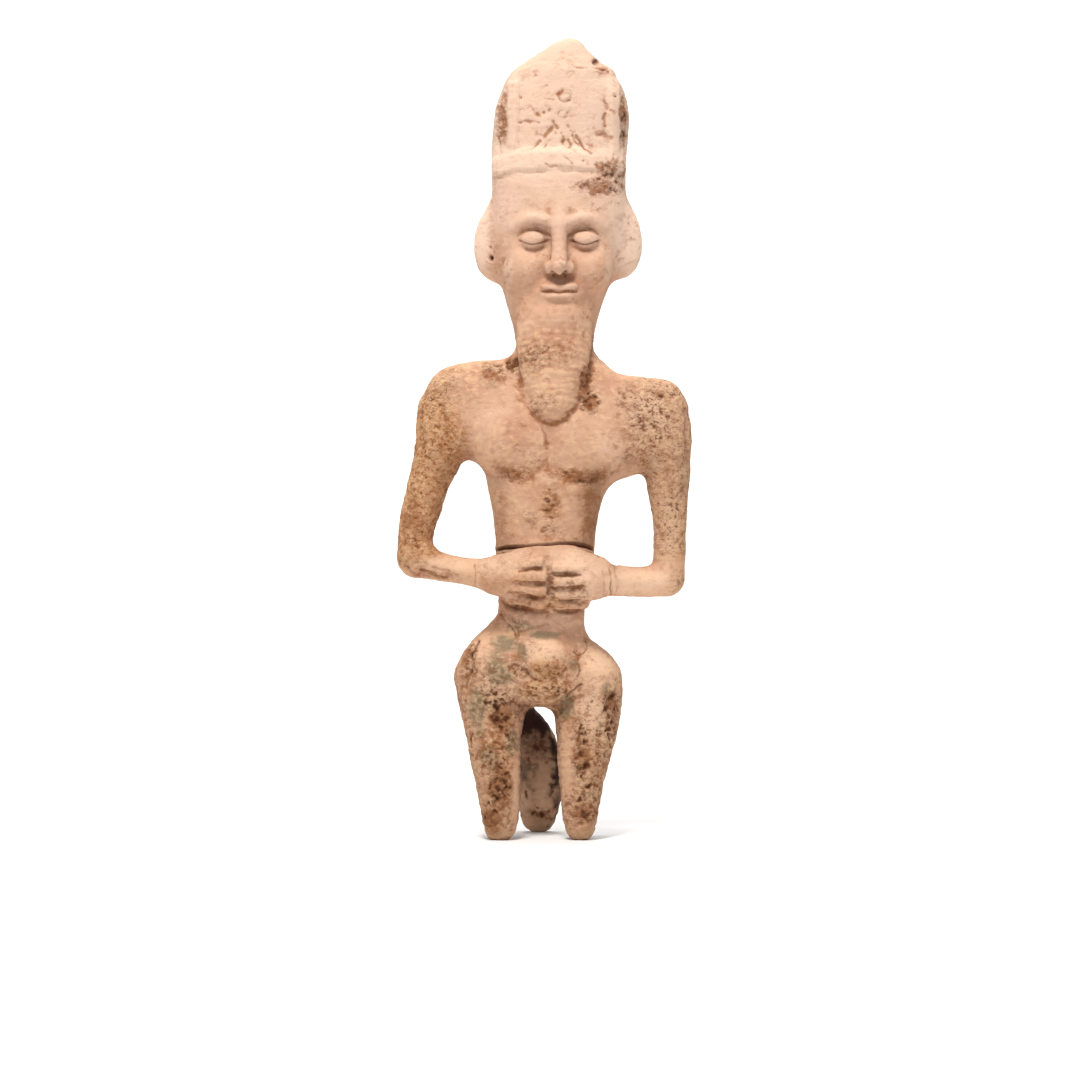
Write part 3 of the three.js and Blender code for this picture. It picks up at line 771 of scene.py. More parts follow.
# worn marks in the panel: a fan of strokes, rings, rows of dots
for line, wd, dp, dk in (
    (((553, 126), (557, 131)), 1.0, 0.7, 0.8),
    (((552, 131), (548, 136), (544, 140)), 0.95, 0.7, 0.85),
    (((547, 131), (543, 135), (541, 139)), 0.7, 0.45, 0.6),
    (((540, 144), (537, 148), (533, 152)), 0.9, 0.55, 0.75),
    (((550, 144), (547, 147), (545, 151)), 0.8, 0.45, 0.6),
    (((561, 137), (563, 141), (562, 146)), 1.0, 0.6, 0.75),
    (((568, 143), (571, 147), (570, 152)), 0.9, 0.5, 0.7),
    (((568, 129), (571, 133), (575, 135)), 0.9, 0.5, 0.7),
    (((572, 138), (574, 144), (579, 150)), 0.8, 0.45, 0.65),
    (((576, 139), (581, 148), (590, 157)), 1.0, 0.7, 0.85),
    (((518, 126), (527, 124), (538, 126)), 0.8, 0.35, 0.7),
    (((597, 139), (603, 137), (611, 141)), 1.2, 0.8, 0.65),
    (((605.5, 116), (604.5, 122), (606, 129)), 0.9, 0.5, 0.75),
    (((605, 99), (604, 103), (605, 108)), 1.2, 0.4, 0.55),
    (((607, 112), (610, 113), (613, 116)), 0.8, 0.4, 0.6),
    (((572, 67.6), (578, 70.5), (587, 70)), 0.5, 0.3, 0.6),
    (((545, 167), (550, 170.5), (557, 170)), 0.6, 0.4, 0.65),
    (((563, 160), (568, 163), (572, 167)), 0.7, 0.35, 0.45),
    (((540, 105), (546, 102), (553, 103)), 0.7, 0.3, 0.5),
    (((587, 92), (588, 101), (586, 110)), 0.8, 0.2, 0.3),
    (((521, 136), (524, 142), (522, 149)), 0.9, 0.25, 0.35),
    (((590, 118), (595, 126), (593, 134)), 0.9, 0.25, 0.35),
):
    groove(pts(*line), 1.2 * wd, 0.85 * dp, 1.25 * dk, 0.3, True)


def small_ring(col, row, r, width, depth, dark):
    d = np.abs(np.hypot(XW - gx(col), (ZW - gz(row)) * 1.15) - r)
    s = np.exp(-((d / width) ** 2)) * front * (0.75 + 0.8 * n_fine)
    height[:] -= depth * s
    stain_and_shade[:] = np.maximum(stain_and_shade, dark * s)


small_ring(562.5, 118, 2.3, 0.8, 0.45, 0.5)
small_ring(564, 100, 2.9, 1.0, 0.35, 0.7)
small_ring(521, 115, 1.7, 0.7, 0.35, 0.5)
for col, row, rc, rr, dp, dk in (
    (538, 118, 3.6, 4.0, 0.7, 0.8),
    (544, 116, 3.0, 3.6, 0.7, 0.8),
    (549, 113, 2.6, 3.4, 0.6, 0.7),
    (546, 109, 2.2, 2.2, 0.45, 0.6),
    (569, 103, 3.0, 2.2, 0.55, 0.8),
    (559, 97, 4.4, 2.6, 0.45, 0.65),
    (536, 137, 5.0, 5.0, 0.5, 0.6),
    (521, 126, 2.2, 2.0, 0.5, 0.6),
    (530, 126, 2.0, 1.8, 0.4, 0.6),
    (521, 101, 2.0, 2.2, 0.5, 0.6),
    (546.5, 88, 2.6, 2.4, 0.35, 0.55),
    (583, 164.5, 2.2, 2.2, 0.5, 0.7),
    (562, 145, 2.6, 2.4, 0.4, 0.6),
    (555, 137, 2.6, 2.6, 0.3, 0.45),
    (591, 148, 2.4, 2.4, 0.3, 0.5),
    (528, 112, 2.4, 2.0, 0.3, 0.45),
    (577, 112, 2.0, 2.4, 0.3, 0.4),
    (602, 79, 10.0, 5.0, 0.6, 0.45),
    (535, 77, 8.0, 5.0, 0.25, 0.3),
):
    dot(col, row, rc, rr, dp, 1.3 * dk, True)
for col, row, rc, rr, dp, dk in (
    (614, 99, 1.8, 2.0, 0.6, 0.7),
    (596, 62, 2.2, 1.8, 0.5, 0.6),
    (604, 71, 4.0, 2.6, 1.2, 0.75),
    (609, 73, 2.2, 2.0, 0.8, 0.8),
    (491, 259, 2.3, 2.5, 2.6, 1.0),
    (490, 248, 1.6, 1.8, 0.7, 0.6),
    (596, 168, 3.0, 2.4, 0.8, 0.55),
    (606, 170, 3.4, 2.6, 0.9, 0.6),
    (612, 177, 3.4, 3.4, 1.0, 0.75),
    (617, 184, 2.6, 3.6, 0.9, 0.7),
    (622, 188, 2.0, 4.0, 0.7, 0.6),
    (501, 97, 2.2, 4.0, 0.6, 0.4),
    (500, 108, 2.0, 5.0, 0.6, 0.45),
    (501, 121, 1.8, 6.0, 0.6, 0.45),
    (499, 134, 1.8, 5.0, 0.5, 0.4),
    (625, 104, 1.6, 4.0, 0.5, 0.6),
    (624, 122, 1.6, 5.0, 0.5, 0.6),
    (623, 139, 1.6, 4.0, 0.5, 0.5),
):
    dot(col, row, rc, rr, dp, dk)

# --- the face's own lines -------------------------------------------------
for way in (-1, 1):
    cx = FACE_X + way * EYE
    arc = [(cx - 7.0, LIDS - 0.6), (cx - 3.6, LIDS - 2.3), (cx, LIDS - 3.0), (cx + 3.6, LIDS - 2.3), (cx + 7.0, LIDS - 0.6)]
    groove(arc, 0.65, 0.9, 0.7, 0.2, False, True)
    upper = [(cx - 7.8, LIDS + 1.8), (cx - 3.5, LIDS + 4.6), (cx, LIDS + 5.4), (cx + 3.5, LIDS + 4.6), (cx + 7.8, LIDS + 1.8)]
    groove(upper, 0.9, 0.4, 0.3, 0.5, True)
    dot((FACE_X + way * 2.9) / STEP + 544, 839 - (NOSE - 0.2) / STEP, 2.4, 2.0, 0.3, 0.9)
groove([(FACE_X - 8.8, MOUTH - 0.1), (FACE_X - 4, MOUTH - 0.1), (FACE_X, MOUTH - 0.6), (FACE_X + 4, MOUTH - 0.1), (FACE_X + 8.8, MOUTH - 0.1)], 0.6, 0.9, 0.5, 0.2, False, True)

# --- beard: fine waves across it, knobbly rows above ------------------------
beard_half = through([206, 214, 222, 232, 246, 262], [4, 9, 12.5, 15.5, 18, 19])(Z)
beard = (
    smooth(gz(422), gz(417), Z)
    * (1 - smooth(gz(340), gz(318), Z))
    * (1 - smooth(0.85, 1.08, np.abs(X - 4.7) / (2.0 + beard_half)))
    * smooth(-15.5, -18.5, Yc)
    * front
)
wave = np.sin(2 * np.pi * (Z + 1.6 * noise(p0, 9.0, 31) + 0.5 * noise(p0, 4.0, 32) + 0.012 * (X - 4.7) ** 2) / 3.4)
q_beard = np.stack([X, Yc * 0, Z * 1.25], 1).astype(F)
knobs = pits(q_beard, 4.6, 0.85, 2.5, 29)
upper_beard = smooth(gz(374), gz(362), Z)
height += beard * ((0.26 - 0.1 * upper_beard) * wave * np.clip(0.45 + 1.5 * n_blot, 0, 1.2) + 0.35 * n_blot + upper_beard * (0.7 * knobs - 0.3 + 0.3 * n_blot))
# brown in the troughs of the waves is painted shade; the blotches are stain
stain_and_shade = np.maximum(stain_and_shade, beard * np.clip(-wave * 0.45 + 0.35 * n_blot, 0, 1) * (0.55 + 0.25 * upper_beard))

# --- hands ----------------------------------------------------------------
# the dark line over the hands is painted shade in the narrow gap under the belly
groove(pts((487.5, 557), (493, 552.5), (502, 549.6), (510, 548.2), (532, 545.4), (548, 544.2), (564, 543.4), (580, 545.6), (594, 551), (599, 556)), 0.62, 2.0, 0.95, 0.0, False, True)
# painted shade in the grooves between the fingers; the other lines are wrist lines and creases
for line, wd, dp, dk in (
    (((519, 572), (528, 570.5), (541, 570)), 0.8, 0.9, 0.85),
    (((516, 582), (528, 582.5), (545, 583.5)), 0.75, 0.8, 0.75),
    (((508, 593.5), (520, 594.5), (533, 597), (545, 597.5)), 0.9, 1.1, 0.95),
    (((499, 600), (508, 605.5), (524, 609.5), (538, 612), (546, 612)), 1.1, 0.6, 0.85),
    (((551, 574), (558, 575.5), (567, 576), (580, 575)), 0.8, 0.9, 0.8),
    (((551, 588), (566, 588.5), (583, 587)), 0.8, 0.9, 0.75),
    (((553, 599), (562, 600), (574, 599.5), (584, 598)), 0.85, 1.0, 0.85),
    (((553, 609), (564, 611.5), (577, 611.5), (588, 607)), 1.1, 0.6, 0.85),
    (((548, 571), (549.5, 580), (548.5, 590), (550, 600), (549, 614)), 1.1, 1.1, 0.2),
    (((476, 565), (475.5, 574), (476.5, 583)), 0.6, 0.45, 0.6),
    (((602.5, 572), (604.5, 582), (603.5, 596)), 0.6, 0.4, 0.35),
    (((616, 577), (617.5, 584), (616.5, 591)), 0.6, 0.35, 0.35),
    (((532, 553), (529, 560), (527, 566)), 0.5, 0.35, 0.5),
    (((577, 553), (584, 558), (588, 566)), 0.6, 0.3, 0.3),
):
    groove(pts(*line), wd, 0.7 * dp, 0.36 * dk, 0.35)
    groove(pts(*line), 1.3 * wd, 0.1, 0.85 * dk, 0.3, True)
groove(pts((546, 550), (547, 560), (548, 568)), 2.4, 0.9, 0.12)
# crusted underside of the left elbow and forearm
for line, wd, dp, dk in (
    (((404, 562), (409, 569), (417, 575), (428, 579)), 0.9, 0.8, 0.9),
    (((421, 571), (431, 574), (441, 578), (452, 577)), 0.9, 0.9, 0.95),
    (((432, 567), (440, 570), (449, 571), (457, 575)), 0.8, 0.6, 0.7),
    (((411, 574), (419, 580), (431, 583)), 0.9, 0.6, 0.8),
):
    groove(pts(*line), 1.5 * wd, 0.5 * dp, 0.8 * dk, 0.45, True)
    groove(pts(*line), 0.6 * wd, 0.5 * dp, 0.14, 0.5)
for col in (606.5, 611.5):
    ridge(pts((col, 569), (col + 1.2, 576), (col + 1.5, 590), (col, 599)), 0.75, 0.65)
groove(pts((609.2, 570), (610.6, 580), (609.4, 598)), 0.7, 0.4, 0.45)

# --- cracks and creases below the hands --------------------------------------
for line, wd, dp, dk, wn in (
    (((500.5, 612), (503, 618), (508, 623.5), (513, 629), (515.5, 636), (518, 640)), 0.5, 0.5, 0.5, 0.5),
    (((586.5, 641), (587, 647), (584.5, 652), (578, 655.5), (573, 652)), 0.5, 0.5, 0.8, 0.3),
    (((578, 656), (578, 663), (579.5, 668), (578, 676)), 0.6, 0.5, 0.6, 0.6),
    (((581, 683), (575, 688.5), (570, 693), (567, 697)), 0.6, 0.6, 0.7, 0.5),
    (((470, 676), (472, 668), (472, 656), (475, 648), (479, 641)), 1.1, 0.9, 0.75, 0.6),
    (((466, 686), (468, 680), (472, 671)), 1.0, 0.7, 0.6, 0.5),
    (((553, 620), (560, 624), (566, 630)), 0.5, 0.4, 0.5, 0.4),
    (((524, 670), (531, 676), (541, 680)), 1.1, 0.6, 0.3, 0.6),
    (((548, 680), (558, 677), (566, 669)), 1.1, 0.6, 0.3, 0.6),
    (((541, 428), (545, 437), (547, 446)), 1.3, 0.5, 0.4, 0.5),
):
    groove(pts(*line), wd, dp, dk, wn)
# brown bands: creases on the belly and down the sternum, and painted shade under the hands, under the breasts,
# round the beard's edges and tip and down both sides of the waist
for line, wd, dp, dk in (
    (((516, 634), (528, 629.5), (540, 626), (556, 627), (563, 631)), 1.2, 0.4, 0.3),
    (((530, 694), (545, 697), (560, 696)), 1.4, 0.6, 0.8),
    (((505, 616), (520, 620), (540, 622), (562, 621), (578, 617)), 2.0, 0.35, 0.25),
    (((500, 472), (512, 480), (524, 482), (536, 475), (543, 466)), 3.0, 0.7, 0.45),
    (((556, 468), (566, 478), (578, 482), (592, 481), (606, 472)), 3.0, 0.7, 0.45),
    (((546, 446), (546.5, 458), (548, 472)), 2.0, 0.4, 0.5),
    (((517, 362), (519, 375), (522, 392), (525, 405), (532, 415)), 1.3, 0.7, 0.9),
    (((534, 418), (541, 423), (551, 425), (562, 423), (570, 416)), 1.8, 0.6, 0.9),
    (((573, 413), (579, 404), (585, 391), (589, 378), (592, 364)), 1.4, 0.6, 0.8),
    (((497, 470), (503, 500), (503, 530), (500, 545)), 2.4, 0.2, 0.35),
    (((598, 478), (593, 500), (591, 525), (592, 545)), 3.0, 0.3, 0.6),
):
    groove(pts(*line), wd, dp, dk, 0.5, True)
jag_x = 1.5 * noise(p0, 2.3, 61)
jag_z = 1.5 * noise(p0, 2.3, 62)


def chip(col, row, rc, rr, depth):
    """A ragged hole with brown earth about it."""
    i = np.nonzero(np.hypot((X - gx(col)) / (rc * STEP), (Z - gz(row)) / (rr * STEP)) < 5)[0]
    d = np.hypot(
        (XW[i] + jag_x[i] - gx(col)) / (rc * STEP), (ZW[i] + jag_z[i] - gz(row)) / (rr * STEP)
    )
    height[i] -= 1.15 * depth * np.exp(-(d**2) * 1.2) * front[i]
    dark_earth_and_shade[i] = np.maximum(dark_earth_and_shade[i], 1.05 * np.exp(-(d**2) * 1.6) * front[i])
    stain_and_shade[i] = np.maximum(stain_and_shade[i], 0.95 * np.exp(-(d**2) * 0.35) * front[i])


# deep pits on the legs
for col, row, rc, rr, dp in (
    (498, 708, 3.0, 3.6, 1.3),
    (503, 714, 3.2, 2.6, 1.2),
    (497, 720, 3.4, 3.6, 1.4),
    (502, 727, 3.4, 2.6, 1.2),
    (491, 718, 2.4, 3.0, 0.9),
    (486, 701, 2.6, 3.2, 0.7),
    (507, 719, 2.0, 2.6, 0.8),
    (498, 742, 3.0, 2.0, 0.8),
    (503, 746, 2.2, 2.0, 0.7),
    (491, 752, 2.4, 2.4, 0.7),
    (507, 734, 2.6, 3.0, 0.7),
    (501, 767, 2.6, 2.2, 1.0),
    (507, 773, 2.4, 2.6, 1.0),
    (497, 778, 3.0, 2.6, 1.2),
    (505, 781, 2.6, 2.4, 1.1),
    (499, 788, 4.0, 3.4, 1.5),
    (505, 793, 2.4, 3.0, 1.1),
    (496, 797, 3.6, 3.0, 1.4),
    (490, 787, 2.0, 2.6, 0.8),
    (488, 802, 2.4, 2.4, 0.8),
    (496, 810, 3.0, 2.4, 0.9),
    (484, 818, 2.0, 3.0, 0.7),
    (471, 738, 1.8, 4.0, 0.8),
    (613, 696, 2.2, 5.0, 1.0),
    (615, 709, 2.4, 4.0, 1.1),
    (612, 721, 3.0, 3.6, 1.3),
    (608, 730, 2.6, 3.0, 1.0),
    (581, 727, 2.2, 3.4, 0.9),
    (585, 741, 2.8, 3.0, 1.1),
    (581, 753, 2.6, 3.4, 1.2),
    (586, 765, 3.0, 3.4, 1.3),
    (582, 776, 2.4, 2.6, 1.0),
    (588, 786, 2.6, 3.4, 1.1),
    (579, 798, 2.6, 2.6, 0.8),
    (596, 752, 2.0, 3.0, 0.6),
    (599, 776, 2.2, 2.6, 0.6),
    (533, 819, 2.6, 1.8, 0.7),
    (541, 822, 3.0, 1.8, 0.8),
    (548, 818, 2.4, 1.8, 0.7),
    (537, 812, 2.4, 1.8, 0.6),
    (535, 750, 3.0, 3.6, 0.8),
    (541, 745, 2.4, 2.4, 0.6),
    (529, 764, 2.0, 3.4, 0.5),
    (527, 738, 2.4, 2.4, 0.5),
    (546, 768, 2.0, 2.0, 0.3),
    (526, 800, 2.4, 5.0, 0.5),
):
    chip(col, row, rc, rr, dp)
# third leg
dot(541, 748, 3.5, 5.0, 0.9, 0.9)
dot(537, 752, 2.5, 3.0, 0.6, 0.7)

# ---------------------------------------------------------------------------
# Decay: where the skin is pitted, rough, crusted or stained
# ---------------------------------------------------------------------------
decayed = spots(
    [
        (502, 718, 10, 14, 1.0),
        (497, 700, 14, 10, 0.7),
        (500, 787, 11, 19, 1.0),
        (494, 758, 14, 14, 0.65),
        (493, 815, 12, 12, 0.6),
        (511, 745, 6, 14, 0.5),
        (611, 704, 8, 16, 0.9),
        (612, 727, 7, 14, 1.0),
        (600, 745, 12, 20, 0.45),
        (580, 735, 7, 15, 0.85),
        (580, 762, 7, 16, 1.0),
        (590, 790, 10, 16, 0.5),
        (584, 812, 12, 8, 0.85),
        (470, 662, 8, 20, 0.75),
        (490, 680, 12, 14, 0.4),
        (551, 505, 10, 18, 0.55),
        (530, 520, 8, 10, 0.5),
        (550, 532, 10, 8, 0.5),
        (517, 477, 18, 9, 0.5),
        (582, 478, 25, 8, 0.65),
        (536, 462, 10, 12, 0.25),
        (590, 403, 9, 12, 1.0),
        (586, 380, 8, 14, 0.7),
        (513, 366, 7, 8, 0.95),
        (494, 372, 15, 11, 0.6),
        (664, 392, 18, 9, 0.8),
        (648, 420, 26, 24, 0.45),
        (675, 448, 10, 14, 0.4),
        (625, 400, 14, 14, 0.4),
        (416, 520, 17, 36, 0.4),
        (428, 488, 15, 24, 0.3),
        (412, 560, 16, 16, 0.4),
        (425, 576, 16, 6, 0.25),
        (436, 448, 22, 18, 0.5),
        (430, 405, 12, 16, 0.5),
        (446, 575, 16, 7, 0.3),
        (672, 520, 12, 34, 0.45),
        (676, 585, 10, 13, 0.5),
        (549, 592, 6, 24, 0.45),
        (578, 596, 18, 12, 0.3),
        (515, 575, 34, 22, 0.2),
        (580, 575, 24, 20, 0.12),
        (520, 605, 16, 7, 0.55),
        (520, 625, 14, 12, 0.4),
        (548, 671, 16, 9, 0.45),
        (548, 692, 22, 9, 0.5),
        (543, 652, 18, 10, 0.12),
        (516, 668, 12, 8, 0.6),
        (501, 119, 6, 37, 0.62),
        (625, 120, 5, 32, 0.75),
        (546, 356, 28, 14, 0.4),
        (548, 404, 18, 8, 0.4),
        (600, 190, 26, 9, 0.75),
        (612, 175, 15, 9, 0.7),
        (540, 752, 12, 12, 0.5),
        (541, 822, 14, 7, 0.8),
    ]
)
arms = smooth(31, 55, np.abs(X - 2) + (9 + 9 * behind) * n_patch + (5 + 6 * behind) * n_mid - 5 * behind) * smooth(120, 135, Z) * (1 - smooth(236, 250, Z))
upper_arms = arms * smooth(136, 146, Z)
legs = 1 - smooth(78, 100, Z)
head = smooth(248, 262, Z)
decayed = np.clip(decayed + behind * 0.7 * smooth(0.12, 0.5, n_patch) * (1 - 0.6 * head), 0, 1)
rough = np.clip(
    0.25 + 0.42 * upper_arms + 0.4 * legs - 0.14 * head + 0.8 * decayed + 0.4 * smooth(0.1, 0.5, n_patch) * (1 - 0.5 * head), 0, 1.3
)
sleek = spots([(518, 780, 5, 46, 1.0), (567, 760, 5, 40, 0.7), (600, 668, 14, 26, 0.5), (635, 582, 40, 14, 0.4), (450, 566, 22, 10, 0.4)], 0.5)
third = (1 - smooth(0.8, 3.0, make_limb(LEG_B, 18)[0](p0))) * (1 - smooth(62, 70, Z))
rough = rough * (1 - 0.7 * sleek) * (1 - 0.55 * third * front)
holes_s = pits(p0, 2.6, np.clip(0.05 + 0.4 * decayed + 0.12 * upper_arms + 0.12 * legs, 0, 0.7), 1.0, 3)
holes_m = pits(p0, 4.4, np.clip(0.02 + 0.32 * decayed + 0.05 * legs, 0, 0.5), 1.6, 11)
grain = fbm((p0 * np.array([1, 1, 1.2])).astype(F), 3.0, 2, 0.65, 21)  # crumbly crust, up and down

# eaten away in ragged holes where it has decayed
ragged = fbm((p0 * np.array([0.85, 1, 1.15])).astype(F), 4.6, 3, 0.62, 51)
eaten = smooth(0.0, 0.3, ragged + 0.35 * (decayed - 0.75)) * smooth(0.25, 0.75, decayed + 0.5 * n_blot)
height -= 1.0 * eaten
height += 0.5 * n_big + 0.4 * n_mid * (0.4 + rough) + 0.4 * n_blot * (rough + 0.1)
height += 0.8 * grain * np.clip(rough - 0.1, 0, 1) * (1 - 0.55 * upper_arms)
# faint marks of wiping, sideways over the smooth parts
drag = fbm((p0 * np.array([0.3, 0.6, 1.0])).astype(F), 2.6, 2, 0.6, 37)
height += 0.22 * drag * (1 - 0.6 * np.clip(rough, 0, 1))
height -= 0.55 * holes_s * (0.5 + 0.5 * rough) + 0.95 * holes_m * (0.5 + 0.5 * rough)
dark_earth_and_shade = np.maximum(dark_earth_and_shade, 0.62 * eaten * np.clip(0.55 + 1.2 * n_blot, 0, 1.3))
dark_earth_and_shade = np.maximum(dark_earth_and_shade, np.clip(1.3 * holes_s * (0.15 + decayed), 0, 1) * 0.7)
dark_earth_and_shade = np.maximum(dark_earth_and_shade, np.clip(1.4 * holes_m * (0.2 + decayed), 0, 1) * 0.8)
v = v + nrm * height[:, None]

# how much of the outside each point sees, from the solid itself; it darkens the colour as painted shade in hollows
# and between parts
pv = v.astype(F)
nf = normals(v, q).astype(F)
occlusion_shade = np.zeros(len(v), F)
for reach, much in ((2.5, 0.5), (6.0, 0.45), (13.0, 0.4)):
    gap = body(pv + nf * F(reach), reach)
    occlusion_shade += F(much) * np.clip((F(reach) - gap) / F(reach), 0, 1)

# less painted shade on the face
occlusion_shade *= 1 - 0.45 * smooth(252, 260, Z) * (1 - smooth(325, 332, Z)) * front

# the soles are worn flat on the ground
v[:, 2] = np.maximum(v[:, 2], 0.0)

# ---------------------------------------------------------------------------
# Colour zones, 0..1 each
# ---------------------------------------------------------------------------
# brown patches: stains, and painted shade under the breasts, beside the beard, in the armpit, under the hands and
# the boss, down the waist sides and in the cap's side recesses
brown = spots(
    [
        (501, 119, 6, 36, 0.72),
        (624, 120, 5, 32, 0.7),
        (604, 72, 8, 7, 0.75),
        (545, 113, 16, 12, 0.3),
        (538, 142, 10, 9, 0.35),
        (584, 147, 10, 9, 0.3),
        (603, 138, 9, 5, 0.3),
        (608, 172, 17, 12, 0.7),
        (600, 190, 26, 9, 0.7),
        (512, 335, 9, 26, 0.4),
        (590, 330, 9, 30, 0.35),
        (515, 362, 12, 9, 0.75),
        (590, 372, 8, 10, 0.6),
        (550, 348, 34, 16, 0.4),
        (519, 390, 6, 22, 0.6),
        (584, 388, 8, 22, 0.65),
        (590, 404, 8, 9, 0.9),
        (497, 377, 18, 11, 0.5),
        (528, 436, 18, 16, 0.35),
        (548, 470, 9, 14, 0.35),
        (517, 477, 19, 9, 0.7),
        (580, 477, 26, 10, 0.7),
        (640, 400, 32, 20, 0.3),
        (664, 392, 18, 9, 0.4),
        (640, 440, 18, 14, 0.15),
        (676, 450, 8, 16, 0.3),
        (436, 392, 14, 14, 0.35),
        (446, 470, 9, 32, 0.4),
        (410, 530, 17, 46, 0.6),
        (410, 570, 14, 14, 0.4),
        (426, 577, 20, 6, 0.75),
        (448, 574, 12, 5, 0.7),
        (462, 456, 15, 6, 0.7),
        (440, 492, 5, 30, 0.45),
        (628, 470, 14, 5, 0.5),
        (431, 540, 6, 22, 0.45),
        (428, 500, 14, 24, 0.4),
        (660, 540, 8, 30, 0.35),
        (680, 580, 8, 20, 0.4),
        (640, 600, 40, 5, 0.3),
        (550, 505, 11, 22, 0.55),
        (500, 515, 8, 28, 0.5),
        (590, 515, 12, 36, 0.7),
        (548, 540, 44, 7, 0.35),
        (549, 592, 6, 24, 0.35),
        (520, 608, 18, 6, 0.6),
        (572, 608, 18, 6, 0.6),
        (580, 594, 14, 10, 0.4),
        (500, 583, 14, 7, 0.3),
        (540, 622, 42, 9, 0.1),
        (500, 620, 9, 12, 0.5),
        (470, 670, 11, 26, 0.65),
        (487, 650, 10, 10, 0.35),
        (548, 669, 15, 8, 0.42),
        (545, 698, 24, 7, 0.25),
        (516, 662, 8, 14, 0.5),
        (576, 665, 8, 14, 0.5),
        (502, 718, 13, 20, 0.8),
        (488, 745, 16, 22, 0.6),
        (500, 785, 13, 26, 0.8),
        (490, 820, 14, 16, 0.7),
        (512, 745, 6, 20, 0.4),
        (611, 715, 10, 26, 0.7),
        (581, 750, 10, 32, 0.7),
        (584, 812, 16, 12, 0.8),
        (599, 770, 14, 28, 0.45),
        (570, 718, 9, 18, 0.45),
        (600, 660, 10, 20, 0.3),
    ],
    0.6,
)
brown = np.maximum(brown, 0.42 * front * smooth(252, 258, Z) * (1 - smooth(322, 330, Z)) * smooth(-0.05, 0.5, n_mid + 0.6 * n_patch))
brown = np.maximum(brown, behind * (0.25 + 0.45 * smooth(0.0, 0.5, n_patch)) * (1 - 0.5 * head))
brown = np.maximum(brown, 0.45 * upper_arms * front * smooth(0.05, 0.5, n_mid + 0.5 * n_blot))
stain_and_shade = np.maximum(stain_and_shade, brown)
# pale clay, with painted highlights on the breasts and the top of the boss, and painted light under the hands
pale = np.clip(
    0.85 * smooth(gz(205), gz(160), Z)
    + 0.5 * smooth(gz(300), gz(215), Z) * (1 - smooth(gz(205), gz(160), Z))
    + spots(
        [
            (478, 245, 12, 42, 0.5),
            (632, 245, 18, 44, 0.7),
            (490, 415, 20, 20, 0.45),
            (608, 450, 18, 16, 0.5),
            (510, 565, 36, 15, 0.65),
            (580, 566, 30, 18, 1.0),
            (520, 588, 22, 12, 0.35),
            (580, 588, 24, 18, 0.8),
            (635, 582, 40, 13, 0.85),
            (450, 566, 30, 10, 0.6),
            (542, 650, 20, 9, 1.0),
            (640, 405, 40, 22, 0.45),
            (668, 540, 12, 40, 0.35),
            (505, 692, 16, 12, 0.4),
            (598, 670, 18, 24, 0.7),
            (606, 650, 14, 14, 0.5),
            (592, 712, 15, 24, 0.85),
            (540, 622, 42, 10, 0.45),
            (486, 655, 13, 14, 0.35),
            (495, 700, 20, 16, 0.4),
            (582, 590, 16, 14, 0.3),
            (545, 692, 26, 10, 0.3),
            (452, 384, 34, 20, 0.32),
            (478, 682, 14, 24, 0.3),
            (648, 385, 30, 14, 0.3),
            (552, 398, 22, 16, 0.35),
            (547, 478, 8, 6, 0.4),
            (516, 790, 4, 40, 0.5),
            (566, 760, 4, 40, 0.3),
        ],
        0.7,
    )
    + 0.22 * n_patch
    + 0.22 * upper_arms * front * smooth(0.1, 0.5, -n_mid)
    + 0.12 * behind * smooth(0, 0.5, n_mid),
    0,
    1,
)
ochre = np.clip(
    (0.75 * upper_arms * smooth(-30, 30, -X) + 0.25 * upper_arms) * (1 - 0.6 * smooth(202, 224, Z))
    + spots(
        [
            (412, 520, 20, 50, 0.75),
            (425, 430, 14, 40, 0.5),
            (518, 580, 30, 18, 0.45),
            (545, 603, 44, 8, 0.5),
            (582, 594, 17, 13, 0.6),
            (548, 668, 15, 10, 0.9),
            (548, 690, 24, 12, 0.5),
            (548, 400, 22, 12, 0.4),
            (580, 478, 26, 10, 0.6),
            (517, 476, 18, 8, 0.55),
            (684, 560, 8, 40, 0.4),
            (548, 505, 14, 22, 0.4),
            (500, 745, 16, 60, 0.4),
            (592, 770, 14, 50, 0.3),
            (490, 825, 14, 12, 0.5),
            (582, 825, 14, 12, 0.4),
            (546, 688, 22, 10, 0.8),
        ],
        0.7,
    )
    + 0.22 * n_big
    + 0.15 * legs
    + 0.2 * behind * smooth(-0.2, 0.5, n_patch),
    0,
    1,
)
green = np.clip(
    spots(
        [
            (504, 643, 13, 8, 1.0),
            (498, 656, 11, 14, 0.6),
            (497, 671, 10, 13, 1.2),
            (507, 678, 9, 7, 0.9),
            (522, 652, 6, 10, 0.8),
            (545, 635, 15, 4, 1.0),
            (478, 706, 9, 17, 1.25),
            (481, 729, 6, 10, 0.8),
            (567, 707, 7, 12, 1.25),
            (575, 665, 6, 9, 0.8),
            (606, 691, 5, 10, 0.6),
            (488, 754, 10, 8, 0.9),
            (512, 742, 7, 12, 1.1),
            (494, 768, 9, 8, 0.6),
            (492, 378, 16, 14, 0.4),
            (452, 382, 30, 16, 0.3),
            (640, 384, 26, 12, 0.3),
            (520, 628, 16, 7, 0.6),
            (601, 722, 6, 12, 0.5),
            (583, 795, 7, 10, 0.4),
        ],
        0.65,
    )
    + 0.45 * behind * smooth(0.15, 0.6, n_patch) * (1 - head) * smooth(-0.2, 0.4, n_mid),
    0,
    1,
)
